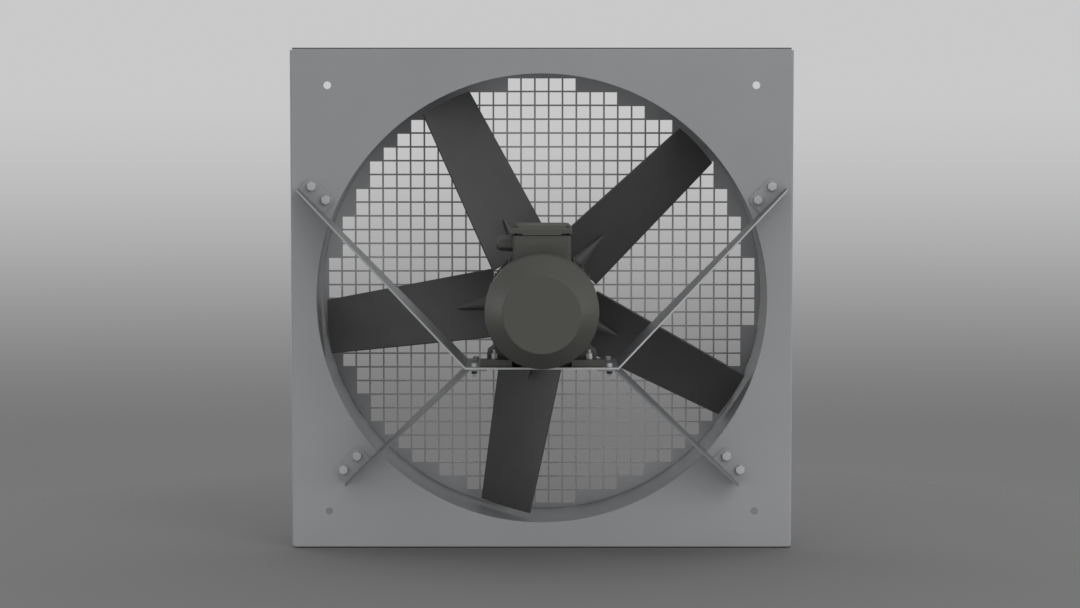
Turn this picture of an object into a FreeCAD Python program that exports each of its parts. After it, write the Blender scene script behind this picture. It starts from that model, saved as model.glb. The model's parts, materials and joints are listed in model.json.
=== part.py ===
import FreeCAD, Part
import math
import os
import re
import Sketcher
from FreeCAD import Placement, Rotation, Vector

# Wall-mounted axial fan with a 630 mm impeller, driven by a foot-mounted motor.
# The fan's axis is the Y axis: +Y points into the wall, +X right and +Z up as seen from the room.
# The origin is the centre of the wall bolt pattern, on the front face of the wall plate.
# "Forward" is the distance from that face towards the room, so forward = -Y.

doc = FreeCAD.newDocument("wall_fan")
sheet = doc.addObject("Spreadsheet::Sheet", "sizes")

SIZES = {
    # Wall plate: square sheet, rim folded back, corners notched
    "plate_side": 720.0,
    "plate_sheet": 2.0,
    "rim_depth": 25.0,
    "rim_bend": 3.0,
    "corner_notch": 3.5,
    "wall_hole_spacing": 613.0,
    "wall_hole": 11.0,
    "opening_edge": 1.0,
    # Duct ring behind the plate, with a flange at the back
    "duct_bore": 646.0,
    "duct_sheet": 2.0,
    "duct_rear": 150.0,
    "duct_flange": 22.0,
    "duct_bend": 5.0,
    # Perforated guard and its fasteners
    "guard_sheet_thickness": 1.5,
    "guard_diameter": 688.0,
    "guard_pitch": 20.4,
    "guard_web": 2.5,
    "guard_screw_circle": 672.0,
    "guard_screw_count": 8,
    "guard_screw": 5.0,
    "guard_screw_head": 9.5,
    "guard_screw_head_height": 3.2,
    "guard_nut_across": 8.0,
    "guard_nut_height": 4.0,
    "thread_end": 3.0,
    "hole_clearance": 0.6,
    "thread_clearance": 0.1,
    # Motor bracket: a cradle with a shelf and two upper arms, and two lower arms
    "bracket_sheet": 2.5,
    "axis_height": 79.0,
    "shelf_half": 105.0,
    "shelf_front": 201.0,
    "shelf_back": 64.0,
    "arm_angle": 44.38,
    "arm_run": 340.3,
    "arm_tip_width": 35.0,
    "arm_contact": 53.0,
    "lower_tab": 24.5,
    "lower_fold": 100.5,
    "lower_angle": 45.24,
    "lower_run": 258.1,
    "flange_length": 50.0,
    "flange_width": 26.0,
    "flange_corner": 9.0,
    "flange_bolt_end": 11.0,
    "flange_bolt_side": 15.5,
    "bracket_bolt": 8.0,
    "bracket_bolt_across": 12.0,
    "bracket_bolt_head": 5.3,
    "bracket_nut_height": 6.5,
    "bracket_thread_end": 5.0,
    "shelf_bolt": 5.0,
    "shelf_bolt_head": 8.5,
    "shelf_bolt_head_height": 5.0,
    "shelf_nut_across": 8.0,
    "shelf_nut_height": 4.0,
    "shelf_bolt_half": 93.0,
    "shelf_bolt_front": 190.0,
    "shelf_bolt_back": 86.0,
    # Motor feet
    "foot_inner": 41.0,
    "foot_outer": 85.0,
    "foot_pad": 9.5,
    "foot_back": 58.0,
    "foot_front": 192.0,
    "foot_lip": 12.0,
    "foot_web_back": 90.0,
    "foot_web_front": 160.0,
    "foot_web_outer": 76.0,
    "foot_web_shoulder": 62.5,
    "seat_inner": 43.0,
    "seat_outer": 64.5,
    "seat_level": 54.0,
    "foot_spacing_across": 131.0,
    "foot_spacing_along": 100.0,
    "foot_bolt_back": 75.0,
    "foot_bolt": 5.0,
    "foot_bolt_across": 8.0,
    "foot_bolt_head": 3.5,
    "foot_nut_height": 8.0,
    "fixing_screw": 6.0,
    "fixing_screw_head": 10.0,
    "fixing_screw_head_height": 6.0,
    "fixing_screw_half": 54.5,
    "fixing_screw_reach": 10.0,
    "fixing_screw_inset": 16.0,
    # Motor housing and shields
    "housing_drive": 14.0,
    "housing_rear": 206.0,
    "housing_radius": 66.0,
    "housing_bore": 121.0,
    "fin_tip_radius": 77.5,
    "fin_thickness": 2.6,
    "fin_count": 30,
    "fin_inset": 6.0,
    "tie_circle": 138.0,
    "tie_turn": 20.0,
    "tie_boss": 12.0,
    "tie_bolt": 5.0,
    "tie_head": 8.5,
    "tie_head_height": 5.0,
    "shield_radius": 75.5,
    "shield_rim": 8.0,
    "shield_web": 5.0,
    "shield_lip": 5.0,
    "spigot_depth": 6.0,
    "spigot_wall": 6.5,
    "bearing_boss": 60.0,
    "fit": 0.05,
    # Rear cover of the motor: cylinder, cone and flat disc
    "cover_radius": 78.4,
    "cover_wall": 2.5,
    "cover_shoulder": 232.0,
    "cover_disc_radius": 53.5,
    "cover_front": 277.0,
    "cover_shoulder_round": 9.0,
    "cover_disc_round": 2.5,
    "cover_screw": 4.0,
    "cover_screw_head": 7.6,
    "cover_screw_head_depth": 2.2,
    "cover_screw_length": 10.0,
    # Bearings, shaft and windings
    "bearing_bore": 20.0,
    "bearing_outside": 47.0,
    "bearing_width": 14.0,
    "bearing_inner_land": 28.5,
    "bearing_outer_land": 38.5,
    "ball": 8.0,
    "ball_count": 8,
    "ball_groove": 8.1,
    "ball_running_groove": 8.7,
    "spring_thickness": 1.0,
    "shaft_core": 24.0,
    "shaft_end": 19.0,
    "shaft_setback": 1.0,
    "core_drive": 65.0,
    "core_rear": 160.0,
    "stator_bore": 70.0,
    "air_gap": 0.4,
    "winding_overhang": 17.0,
    "winding_inner": 76.0,
    "winding_outer": 112.0,
    "cage_ring_width": 9.0,
    "cage_ring_inner": 42.0,
    "seal_outside": 32.0,
    "seal_width": 4.5,
    "seal_gap": 0.4,
    # Terminal box, lid and gland
    "box_width": 80.5,
    "box_back": 95.0,
    "box_front": 181.0,
    "box_level": 76.0,
    "box_height": 25.3,
    "box_wall": 3.0,
    "box_corner": 6.0,
    "gasket_thickness": 1.0,
    "lid_width": 84.0,
    "lid_height": 13.1,
    "lid_chamfer": 5.5,
    "lid_wall": 3.0,
    "lid_slot_length": 15.0,
    "lid_slot_height": 2.5,
    "lid_slot_depth": 8.0,
    "lid_screw": 4.0,
    "lid_screw_head": 7.0,
    "lid_screw_head_height": 2.6,
    "lid_post": 9.0,
    "terminal_seat_half": 34.0,
    "block_width": 52.0,
    "block_depth": 26.0,
    "block_height": 10.0,
    "stud": 4.0,
    "stud_across": 7.0,
    "stud_nut_height": 3.2,
    "stud_reach": 6.0,
    "stud_spacing": 16.0,
    "stud_row": 12.0,
    "box_screw": 5.0,
    "box_screw_head": 8.5,
    "box_screw_head_height": 3.5,
    "box_screw_reach": 9.0,
    "box_screw_half": 30.0,
    "gland_level": 89.0,
    "gland_thread": 16.0,
    "gland_across": 20.0,
    "gland_collar": 8.5,
    "gland_nut_length": 14.5,
    "gland_nut_across": 19.0,
    "gland_bore": 9.0,
    "gland_seal_outside": 13.0,
    "gland_lock_height": 4.5,
    # Hub and blades
    "hub_plane": 70.0,
    "hub_radius": 63.0,
    "hub_half": 18.0,
    "hub_boss": 44.0,
    "hub_boss_length": 7.0,
    "key_width": 6.0,
    "key_height": 6.0,
    "key_depth": 3.5,
    "key_length": 32.0,
    "hub_screw": 8.0,
    "hub_screw_across": 13.0,
    "hub_screw_head": 5.3,
    "hub_nut_height": 6.5,
    "hub_screw_circle": 92.0,
    "hub_bolt": 8.0,
    "hub_bolt_across": 13.0,
    "hub_bolt_head": 5.3,
    "hub_bolt_reach": 18.0,
    "hub_washer": 30.0,
    "hub_washer_thickness": 3.0,
    "blade_count": 5,
    "blade_start": 116.3,
    "blade_pitch": 45.0,
    "blade_twist": 2.0,
    "impeller": 630.0,
    "blade_root": 66.0,
    "root_chord": 131.5,
    "tip_chord": 97.0,
    "blade_thickness": 5.0,
    "blade_camber": 6.0,
    "shank": 26.0,
    "shank_inner": 33.0,
    "shank_collar": 34.0,
    "shank_collar_inner": 39.0,
    "shank_collar_outer": 46.0,
    "fairing_apex": 124.0,
}

for row, (alias, number) in enumerate(SIZES.items(), start=1):
    sheet.set(f"A{row}", alias)
    sheet.set(f"B{row}", str(number))
    sheet.setAlias(f"B{row}", alias)
doc.recompute()

nodes = []


# Sizes and expressions
def bound(text):
    """The expression with each size name tied to its cell."""
    return re.sub(r"[a-z_]\w*", lambda word: "sizes." + word[0] if word[0] in SIZES else word[0], text)


def value(text):
    return float(sheet.evalExpression(bound(text)))


def keep(part, label):
    """Names a finished sub-part, which is written to a file of that name."""
    part.Label = label
    nodes.append(part)
    return part


# Bodies and sketches
def new_body(name):
    return doc.addObject("PartDesign::Body", name)


def sketch_on(body, role, offset="0"):
    """An empty sketch on one of the body's own planes, moved along the plane's normal."""
    sketch = body.newObject("Sketcher::SketchObject", body.Name + "_sketch")
    plane = next(item for item in body.Origin.OriginFeatures if item.Role == role)
    sketch.AttachmentSupport = [(plane, "")]
    sketch.MapMode = "FlatFace"
    if offset != "0":
        sketch.setExpression("AttachmentOffset.Base.z", bound(offset))
    return sketch


def pin(sketch, edge, end, across, up):
    """Fixes a point of the sketch by its two coordinates."""
    for kind, axis, text in (("DistanceX", -2, across), ("DistanceY", -1, up)):
        if text == "0":
            sketch.addConstraint(Sketcher.Constraint("PointOnObject", edge, end, axis))
        else:
            index = sketch.addConstraint(Sketcher.Constraint(kind, -1, 1, edge, end, value(text)))
            sketch.setExpression(f"Constraints[{index}]", bound(text))


def outline(sketch, corners):
    """A closed outline of straight edges through the corners."""
    points = [Vector(value(across), value(up), 0) for across, up in corners]
    first = sketch.GeometryCount
    for here, there in zip(points, points[1:] + points[:1]):
        sketch.addGeometry(Part.LineSegment(here, there))
    for index, (across, up) in enumerate(corners):
        following = first + (index + 1) % len(corners)
        sketch.addConstraint(Sketcher.Constraint("Coincident", first + index, 2, following, 1))
        pin(sketch, first + index, 1, across, up)


def rectangle(sketch, left, right, bottom, top):
    outline(sketch, [(left, bottom), (right, bottom), (right, top), (left, top)])


def circle(sketch, across, up, diameter):
    centre = Vector(value(across), value(up), 0)
    edge = sketch.addGeometry(Part.Circle(centre, Vector(0, 0, 1), value(diameter) / 2))
    pin(sketch, edge, 3, across, up)
    index = sketch.addConstraint(Sketcher.Constraint("Diameter", edge, value(diameter)))
    sketch.setExpression(f"Constraints[{index}]", bound(diameter))


def hexagon(sketch, across_flats, across="0", up="0"):
    corner = f"{across_flats} / cos(30deg) / 2"
    angles = range(30, 390, 60)
    outline(sketch, [(f"{across} + {corner} * cos({turn}deg)", f"{up} + {corner} * sin({turn}deg)")
                     for turn in angles])


def pad(body, sketch, length):
    feature = body.newObject("PartDesign::Pad", body.Name + "_pad")
    feature.Profile = sketch
    feature.setExpression("Length", bound(length))
    return feature


def cut_through(body, sketch):
    """Cuts the sketch through the whole body, both ways."""
    feature = body.newObject("PartDesign::Pocket", body.Name + "_cut")
    feature.Profile = sketch
    feature.Type = "ThroughAll"
    feature.SideType = "Symmetric"
    return feature


def pocket(body, sketch, depth):
    """Cuts the sketch into the body, against the sketch's normal."""
    feature = body.newObject("PartDesign::Pocket", body.Name + "_pocket")
    feature.Profile = sketch
    feature.setExpression("Length", bound(depth))
    return feature


def spun(body, corners):
    """A turned solid about the fan's axis: corners are radius and forward distance."""
    sketch = sketch_on(body, "XY_Plane")
    outline(sketch, [(radius, f"-({forward})" if forward != "0" else "0") for radius, forward in corners])
    feature = body.newObject("PartDesign::Revolution", body.Name + "_turned")
    feature.Profile = sketch
    feature.ReferenceAxis = (sketch, ["V_Axis"])
    feature.Angle = 360
    return feature


def ring_corners(inner, outer, back, front):
    """The corners of a plain ring, from its two radii and its two ends."""
    return [(inner, back), (outer, back), (outer, front), (inner, front)]


def groove(body, radius, forward, diameter):
    """A round raceway cut about the fan's axis."""
    sketch = sketch_on(body, "XY_Plane")
    circle(sketch, radius, f"-({forward})", diameter)
    feature = body.newObject("PartDesign::Groove", body.Name + "_groove")
    feature.Profile = sketch
    feature.ReferenceAxis = (sketch, ["V_Axis"])
    feature.Angle = 360
    return feature


def turned(label, corners):
    body = new_body(label)
    spun(body, corners)
    return keep(body, label)


def around_axis(body, features, count):
    """Repeats features evenly about the fan's axis."""
    pattern = body.newObject("PartDesign::PolarPattern", body.Name + "_pattern")
    pattern.Originals = features
    axis = next(item for item in body.Origin.OriginFeatures if item.Role == "Y_Axis")
    pattern.Axis = (axis, [""])
    pattern.Angle = 360
    pattern.setExpression("Occurrences", bound(count))
    body.Tip = pattern
    return pattern


def rounded(body, feature, radius, test):
    """Fillets the edges of a feature that pass the test."""
    doc.recompute()
    edges = [f"Edge{number}" for number, edge in enumerate(feature.Shape.Edges, start=1) if test(edge)]
    fillet = body.newObject("PartDesign::Fillet", body.Name + "_round")
    fillet.Base = (feature, edges)
    fillet.setExpression("Radius", bound(radius))
    return fillet


def ring_edge(radius, forward):
    """A test for the circle about the axis with this radius and forward distance."""
    def test(edge):
        curve = edge.Curve
        return (curve.TypeId == "Part::GeomCircle" and abs(curve.Radius - value(radius)) < 1e-4
                and abs(curve.Center.y + value(forward)) < 1e-4 and abs(curve.Axis.y) > 0.999)
    return test


def straight_edge(direction):
    """A test for straight edges along a direction."""
    def test(edge):
        if edge.Curve.TypeId != "Part::GeomLine":
            return False
        return abs(edge.tangentAt(edge.FirstParameter).dot(direction)) > 0.999
    return test


# Fasteners are drawn standing on Z = 0 with the head above, and copied to their places
TURNS = {
    "up": Rotation(),
    "down": Rotation(Vector(1, 0, 0), 180),
    "forward": Rotation(Vector(1, 0, 0), 90),
    "back": Rotation(Vector(1, 0, 0), -90),
}


def hex_bolt(name, thread, across_flats, head, length):
    body = new_body(name)
    head_sketch = sketch_on(body, "XY_Plane")
    hexagon(head_sketch, across_flats)
    pad(body, head_sketch, head)
    shank_sketch = sketch_on(body, "XY_Plane", f"-({length})")
    circle(shank_sketch, "0", "0", thread)
    pad(body, shank_sketch, length)
    return body


def hex_nut(name, thread, across_flats, height):
    body = new_body(name)
    sketch = sketch_on(body, "XY_Plane")
    hexagon(sketch, across_flats)
    circle(sketch, "0", "0", f"{thread} + thread_clearance")
    pad(body, sketch, height)
    return body


def round_screw(name, thread, head, head_height, length):
    body = new_body(name)
    head_sketch = sketch_on(body, "XY_Plane")
    circle(head_sketch, "0", "0", head)
    pad(body, head_sketch, head_height)
    shank_sketch = sketch_on(body, "XY_Plane", f"-({length})")
    circle(shank_sketch, "0", "0", thread)
    pad(body, shank_sketch, length)
    return body


def round_washer(name, hole, outside, thickness):
    body = new_body(name)
    sketch = sketch_on(body, "XY_Plane")
    circle(sketch, "0", "0", outside)
    circle(sketch, "0", "0", hole)
    pad(body, sketch, thickness)
    return body


def copies_at(name, pattern, places, turn):
    """Copies of one piece at (x, y, z) places."""
    copies = []
    for across, back, up in places:
        copy = doc.addObject("App::Link", name + "_copy")
        copy.LinkedObject = pattern
        copy.LinkTransform = True
        copy.Placement = Placement(Vector(), TURNS[turn])
        for axis, text in (("x", across), ("y", back), ("z", up)):
            copy.setExpression(f".Placement.Base.{axis}", bound(text))
        copies.append(copy)
    return copies


def together(label, copies):
    """One node of separate solids."""
    compound = doc.addObject("Part::Compound", label)
    compound.Links = copies
    return keep(compound, label)


def group(label, pattern, places, turn):
    return together(label, copies_at(label, pattern, places, turn))


SIGNS = ("1", "-1")


# Bracket geometry in the plan seen from the front
ARM_COS = "cos(arm_angle * 1deg)"
ARM_SIN = "sin(arm_angle * 1deg)"
LOW_COS = "cos(lower_angle * 1deg)"
LOW_SIN = "sin(lower_angle * 1deg)"
SHELF_TOP = "-axis_height"
SHELF_UNDER = "(-axis_height - bracket_sheet)"
ARM_TIP = (f"(shelf_half + arm_run * {ARM_COS})", f"(arm_run * {ARM_SIN} - axis_height)")
LOW_TIP = (f"(lower_fold + lower_run * {LOW_COS})", f"({SHELF_UNDER} - lower_run * {LOW_SIN})")


def arm_place(tip, along, off, cos, sin, falls):
    """A point of a foot flange: along the arm from its tip inwards, and off it on the upper side."""
    if falls:
        return (f"{tip[0]} - {along} * {cos} + {off} * {sin}", f"{tip[1]} + {along} * {sin} + {off} * {cos}")
    return (f"{tip[0]} - {along} * {cos} - {off} * {sin}", f"{tip[1]} - {along} * {sin} + {off} * {cos}")


def upper_place(along, off):
    return arm_place(ARM_TIP, along, off, ARM_COS, ARM_SIN, False)


def lower_place(along, off):
    return arm_place(LOW_TIP, along, off, LOW_COS, LOW_SIN, True)


FLANGE_BOLT_RUNS = ("flange_bolt_end", "(flange_length - flange_bolt_end)")
FLANGE_BOLTS = [place(along, "flange_bolt_side") for place in (upper_place, lower_place)
                for along in FLANGE_BOLT_RUNS]


def flange_outline(sketch, place, sign):
    runs = (("0", "0"), ("flange_length", "0"), ("flange_length", "flange_width"), ("0", "flange_width"))
    corners = [place(along, off) for along, off in runs]
    outline(sketch, [(f"{sign} * ({across})", up) for across, up in corners])


def flange_corner(place, sign):
    """Picks the upright edges at a foot flange's two free corners."""
    corners = [place(along, "flange_width") for along in ("0", "flange_length")]
    spots = [(value(f"{sign} * ({across})"), value(up)) for across, up in corners]

    def test(edge):
        middle = edge.CenterOfMass
        return any(math.hypot(middle.x - across, middle.z - up) < 1e-3 for across, up in spots)

    return test


# Wall plate
def wall_plate():
    body = new_body("wall_plate")
    half = "plate_side / 2"
    inset = "(plate_side / 2 - corner_notch)"
    face = sketch_on(body, "XZ_Plane", "-plate_sheet")
    outline(face, [(inset, half), (f"-{inset}", half), (f"-{inset}", inset), (f"-{half}", inset),
                   (f"-{half}", f"-{inset}"), (f"-{inset}", f"-{inset}"), (f"-{inset}", f"-{half}"),
                   (inset, f"-{half}"), (inset, f"-{inset}"), (half, f"-{inset}"), (half, inset),
                   (inset, inset)])
    pad(body, face, "plate_sheet")
    rim = sketch_on(body, "XZ_Plane", "-rim_depth")
    inside = "(plate_side / 2 - plate_sheet)"
    for sign in SIGNS:
        rectangle(rim, f"-{inset}", inset, f"{sign} * {inside}", f"{sign} * {half}")
        rectangle(rim, f"{sign} * {inside}", f"{sign} * {half}", f"-{inset}", inset)
    folded = pad(body, rim, "rim_depth - plate_sheet")

    def outer_fold(edge):
        middle = edge.CenterOfMass
        reach = max(abs(middle.x), abs(middle.z))
        return abs(middle.y) < 1e-4 and reach > value(half) - 1e-4

    rounded(body, folded, "rim_bend", outer_fold)
    opening = sketch_on(body, "XZ_Plane")
    circle(opening, "0", "0", "duct_bore")
    opened = cut_through(body, opening)
    rounded(body, opened, "opening_edge", ring_edge("duct_bore / 2", "0"))
    holes = sketch_on(body, "XZ_Plane")
    for side in SIGNS:
        for level in SIGNS:
            circle(holes, f"{side} * wall_hole_spacing / 2", f"{level} * wall_hole_spacing / 2", "wall_hole")
        for across, up in FLANGE_BOLTS:
            circle(holes, f"{side} * ({across})", up, "bracket_bolt + hole_clearance")
    cut_through(body, holes)
    return keep(body, "wall_plate")


# Duct ring
def duct_ring():
    body = new_body("duct_ring")
    inner = "duct_bore / 2"
    outer = "(duct_bore / 2 + duct_sheet)"
    lip = "(duct_bore / 2 + duct_flange)"
    ring = spun(body, [(inner, "-plate_sheet"), (outer, "-plate_sheet"), (outer, "-duct_rear + duct_sheet"),
                       (lip, "-duct_rear + duct_sheet"), (lip, "-duct_rear"), (inner, "-duct_rear")])
    bent = rounded(body, ring, "duct_bend", ring_edge(inner, "-duct_rear"))
    rounded(body, bent, "duct_bend - duct_sheet", ring_edge(outer, "-duct_rear + duct_sheet"))
    hole = sketch_on(body, "XZ_Plane", "-duct_rear")
    circle(hole, "0", "guard_screw_circle / 2", "guard_screw + hole_clearance")
    first = cut_through(body, hole)
    around_axis(body, [first], "guard_screw_count")
    return keep(body, "duct_ring")


# Perforated guard: a disc with square holes wherever a whole cell lies over the duct's bore
def guard_sheet():
    radius = value("guard_diameter / 2")
    pitch = value("guard_pitch")
    half_hole = (pitch - value("guard_web")) / 2
    reach = value("duct_bore / 2") / pitch
    span = int(reach)
    axis = Vector(0, 1, 0)
    wires = [Part.Wire([Part.Circle(Vector(), axis, radius).toShape()])]
    for column in range(-span, span + 1):
        for line in range(-span, span + 1):
            if math.hypot(abs(column) + 0.5, abs(line) + 0.5) <= reach:
                middle = Vector(column * pitch, 0, line * pitch)
                corners = [middle + Vector(dx * half_hole, 0, dz * half_hole)
                           for dx, dz in ((-1, -1), (1, -1), (1, 1), (-1, 1), (-1, -1))]
                wires.append(Part.makePolygon(corners))
    screw_hole = value("guard_screw + hole_clearance") / 2
    count = int(SIZES["guard_screw_count"])
    for index in range(count):
        turn = Rotation(axis, index * 360 / count)
        middle = turn.multVec(Vector(0, 0, value("guard_screw_circle / 2")))
        wires.append(Part.Wire([Part.Circle(middle, -axis, screw_hole).toShape()]))
    part = doc.addObject("Part::Feature", "guard_sheet")
    part.Shape = Part.Face(wires).extrude(Vector(0, value("guard_sheet_thickness"), 0))
    part.Placement = Placement(Vector(0, value("duct_rear"), 0), Rotation())
    return keep(part, "guard_sheet")


def guard_fasteners():
    turns = [f"{index} * 360deg / guard_screw_count" for index in range(int(SIZES["guard_screw_count"]))]
    radius = "guard_screw_circle / 2"
    ring = [(f"{radius} * sin({turn})", f"{radius} * cos({turn})") for turn in turns]
    stack = "guard_sheet_thickness + duct_sheet"
    screw = round_screw("guard_screw_pattern", "guard_screw", "guard_screw_head", "guard_screw_head_height",
                        f"{stack} + guard_nut_height + thread_end")
    nut = hex_nut("guard_nut_pattern", "guard_screw", "guard_nut_across", "guard_nut_height")
    group("guard_screws", screw, [(x, "duct_rear + guard_sheet_thickness", z) for x, z in ring], "back")
    group("guard_nuts", nut, [(x, "duct_rear - duct_sheet", z) for x, z in ring], "forward")


# Motor bracket
def plan_cuts(body, fold, tip, contact):
    """Tapers the arms in plan: full depth at the shelf, narrow at the tip, clear of the impeller."""
    margin = "flange_length"
    front = sketch_on(body, "XY_Plane")
    for sign in SIGNS:
        outline(front, [(f"{sign} * {fold}", "-shelf_front"), (f"{sign} * {tip}", "-arm_tip_width"),
                        (f"{sign} * ({tip} + {margin})", "-arm_tip_width"),
                        (f"{sign} * ({tip} + {margin})", f"-shelf_front - {margin}"),
                        (f"{sign} * {fold}", f"-shelf_front - {margin}")])
    cut_through(body, front)
    back = sketch_on(body, "XY_Plane")
    start = f"({tip} - {contact})"
    outline(back, [(start, "0"), (start, margin), (f"-{start}", margin), (f"-{start}", "0"),
                   (f"-{fold}", "-shelf_back"), (fold, "-shelf_back")])
    cut_through(body, back)


def flange_holes(body, runs, sign):
    holes = sketch_on(body, "XZ_Plane")
    for across, up in runs:
        circle(holes, f"{sign} * ({across})", up, "bracket_bolt + hole_clearance")
    cut_through(body, holes)


FOOT_BOLT_RUNS = ("foot_bolt_back", "(foot_bolt_back + foot_spacing_along)")


def motor_cradle():
    body = new_body("motor_cradle")
    profile = sketch_on(body, "XZ_Plane")
    mitre = "(shelf_half + bracket_sheet * tan(arm_angle * 0.5deg))"
    right = [("shelf_half", SHELF_TOP), ARM_TIP,
             (f"{ARM_TIP[0]} + bracket_sheet * {ARM_SIN}", f"{ARM_TIP[1]} - bracket_sheet * {ARM_COS}"),
             (mitre, SHELF_UNDER)]
    left = [(f"-({across})", up) for across, up in reversed(right)]
    outline(profile, right + left)
    pad(body, profile, "shelf_front")
    plan_cuts(body, "shelf_half", f"({ARM_TIP[0]} + bracket_sheet * {ARM_SIN})", "arm_contact")
    feet = sketch_on(body, "XZ_Plane")
    for sign in SIGNS:
        flange_outline(feet, upper_place, sign)
    flange = pad(body, feet, "bracket_sheet")
    for sign in SIGNS:
        flange = rounded(body, flange, "flange_corner", flange_corner(upper_place, sign))
    for sign in SIGNS:
        flange_holes(body, FLANGE_BOLTS[:2], sign)
    holes = sketch_on(body, "XY_Plane")
    for sign in SIGNS:
        for forward in ("shelf_bolt_front", "shelf_bolt_back"):
            circle(holes, f"{sign} * shelf_bolt_half", f"-{forward}", "shelf_bolt + hole_clearance")
        for forward in FOOT_BOLT_RUNS:
            circle(holes, f"{sign} * foot_spacing_across / 2", f"-{forward}", "foot_bolt + hole_clearance")
    cut_through(body, holes)
    return keep(body, "motor_cradle")


def lower_arm(label, sign):
    body = new_body(label)
    profile = sketch_on(body, "XZ_Plane")
    tab_end = "(lower_fold - lower_tab)"
    mitre = "(lower_fold - bracket_sheet * tan(lower_angle * 0.5deg))"
    corners = [(tab_end, SHELF_UNDER), ("lower_fold", SHELF_UNDER), LOW_TIP,
               (f"{LOW_TIP[0]} - bracket_sheet * {LOW_SIN}", f"{LOW_TIP[1]} - bracket_sheet * {LOW_COS}"),
               (mitre, f"{SHELF_UNDER} - bracket_sheet"), (tab_end, f"{SHELF_UNDER} - bracket_sheet")]
    outline(profile, [(f"{sign} * ({across})", up) for across, up in corners])
    pad(body, profile, "shelf_front")
    plan_cuts(body, "lower_fold", LOW_TIP[0], "arm_contact")
    foot = sketch_on(body, "XZ_Plane")
    flange_outline(foot, lower_place, sign)
    flange = pad(body, foot, "bracket_sheet")
    rounded(body, flange, "flange_corner", flange_corner(lower_place, sign))
    flange_holes(body, FLANGE_BOLTS[2:], sign)
    holes = sketch_on(body, "XY_Plane")
    for forward in ("shelf_bolt_front", "shelf_bolt_back"):
        circle(holes, f"{sign} * shelf_bolt_half", f"-{forward}", "shelf_bolt + hole_clearance")
    cut_through(body, holes)
    return keep(body, label)


def bracket_fasteners():
    stack = "bracket_sheet + plate_sheet"
    bolt = hex_bolt("plate_bolt_pattern", "bracket_bolt", "bracket_bolt_across", "bracket_bolt_head",
                    f"{stack} + bracket_nut_height + bracket_thread_end")
    nut = hex_nut("plate_nut_pattern", "bracket_bolt", "bracket_bolt_across", "bracket_nut_height")
    places = [(f"{sign} * ({across})", up) for sign in SIGNS for across, up in FLANGE_BOLTS]
    group("plate_bolts", bolt, [(x, "-bracket_sheet", z) for x, z in places], "forward")
    group("plate_nuts", nut, [(x, "plate_sheet", z) for x, z in places], "back")
    shelf_length = "2 * bracket_sheet + shelf_nut_height + bracket_thread_end"
    shelf_bolt = round_screw("shelf_bolt_pattern", "shelf_bolt", "shelf_bolt_head", "shelf_bolt_head_height",
                             shelf_length)
    shelf_nut = hex_nut("shelf_nut_pattern", "shelf_bolt", "shelf_nut_across", "shelf_nut_height")
    shelf_places = [(f"{sign} * shelf_bolt_half", f"-{forward}") for sign in SIGNS
                    for forward in ("shelf_bolt_front", "shelf_bolt_back")]
    tab_under = f"{SHELF_UNDER} - bracket_sheet"
    group("cradle_bolts", shelf_bolt, [(x, y, SHELF_TOP) for x, y in shelf_places], "up")
    group("shelf_nuts", shelf_nut, [(x, y, tab_under) for x, y in shelf_places], "down")


# Motor feet and the bolts that hold the motor on the shelf
FIXING_RUNS = ("(foot_web_back + fixing_screw_inset)", "(foot_web_front - fixing_screw_inset)")


def motor_foot(label, sign):
    body = new_body(label)
    slab = sketch_on(body, "XZ_Plane", "foot_back")
    top = f"({SHELF_TOP} + foot_pad)"
    rectangle(slab, f"{sign} * foot_inner", f"{sign} * foot_web_outer", SHELF_TOP, top)
    pad(body, slab, "foot_front - foot_back")
    lip = sketch_on(body, "XZ_Plane", "foot_front - foot_lip")
    rectangle(lip, f"{sign} * foot_inner", f"{sign} * foot_outer", SHELF_TOP, top)
    pad(body, lip, "foot_lip")
    web = sketch_on(body, "XZ_Plane", "foot_web_back")
    outline(web, [(f"{sign} * foot_inner", top), (f"{sign} * foot_web_outer", top),
                  (f"{sign} * foot_web_outer", "-foot_web_shoulder"), (f"{sign} * seat_outer", "-seat_level"),
                  (f"{sign} * seat_inner", "-seat_level")])
    pad(body, web, "foot_web_front - foot_web_back")
    holes = sketch_on(body, "XY_Plane")
    for forward in FOOT_BOLT_RUNS:
        circle(holes, f"{sign} * foot_spacing_across / 2", f"-{forward}", "foot_bolt + hole_clearance")
    for forward in FIXING_RUNS:
        circle(holes, f"{sign} * fixing_screw_half", f"-{forward}", "fixing_screw + hole_clearance")
    cut_through(body, holes)
    sinks = sketch_on(body, "XY_Plane", f"{SHELF_TOP} + fixing_screw_head_height + hole_clearance")
    for forward in FIXING_RUNS:
        circle(sinks, f"{sign} * fixing_screw_half", f"-{forward}", "fixing_screw_head + hole_clearance")
    pocket(body, sinks, "fixing_screw_head_height + hole_clearance")
    return keep(body, label)


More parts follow.
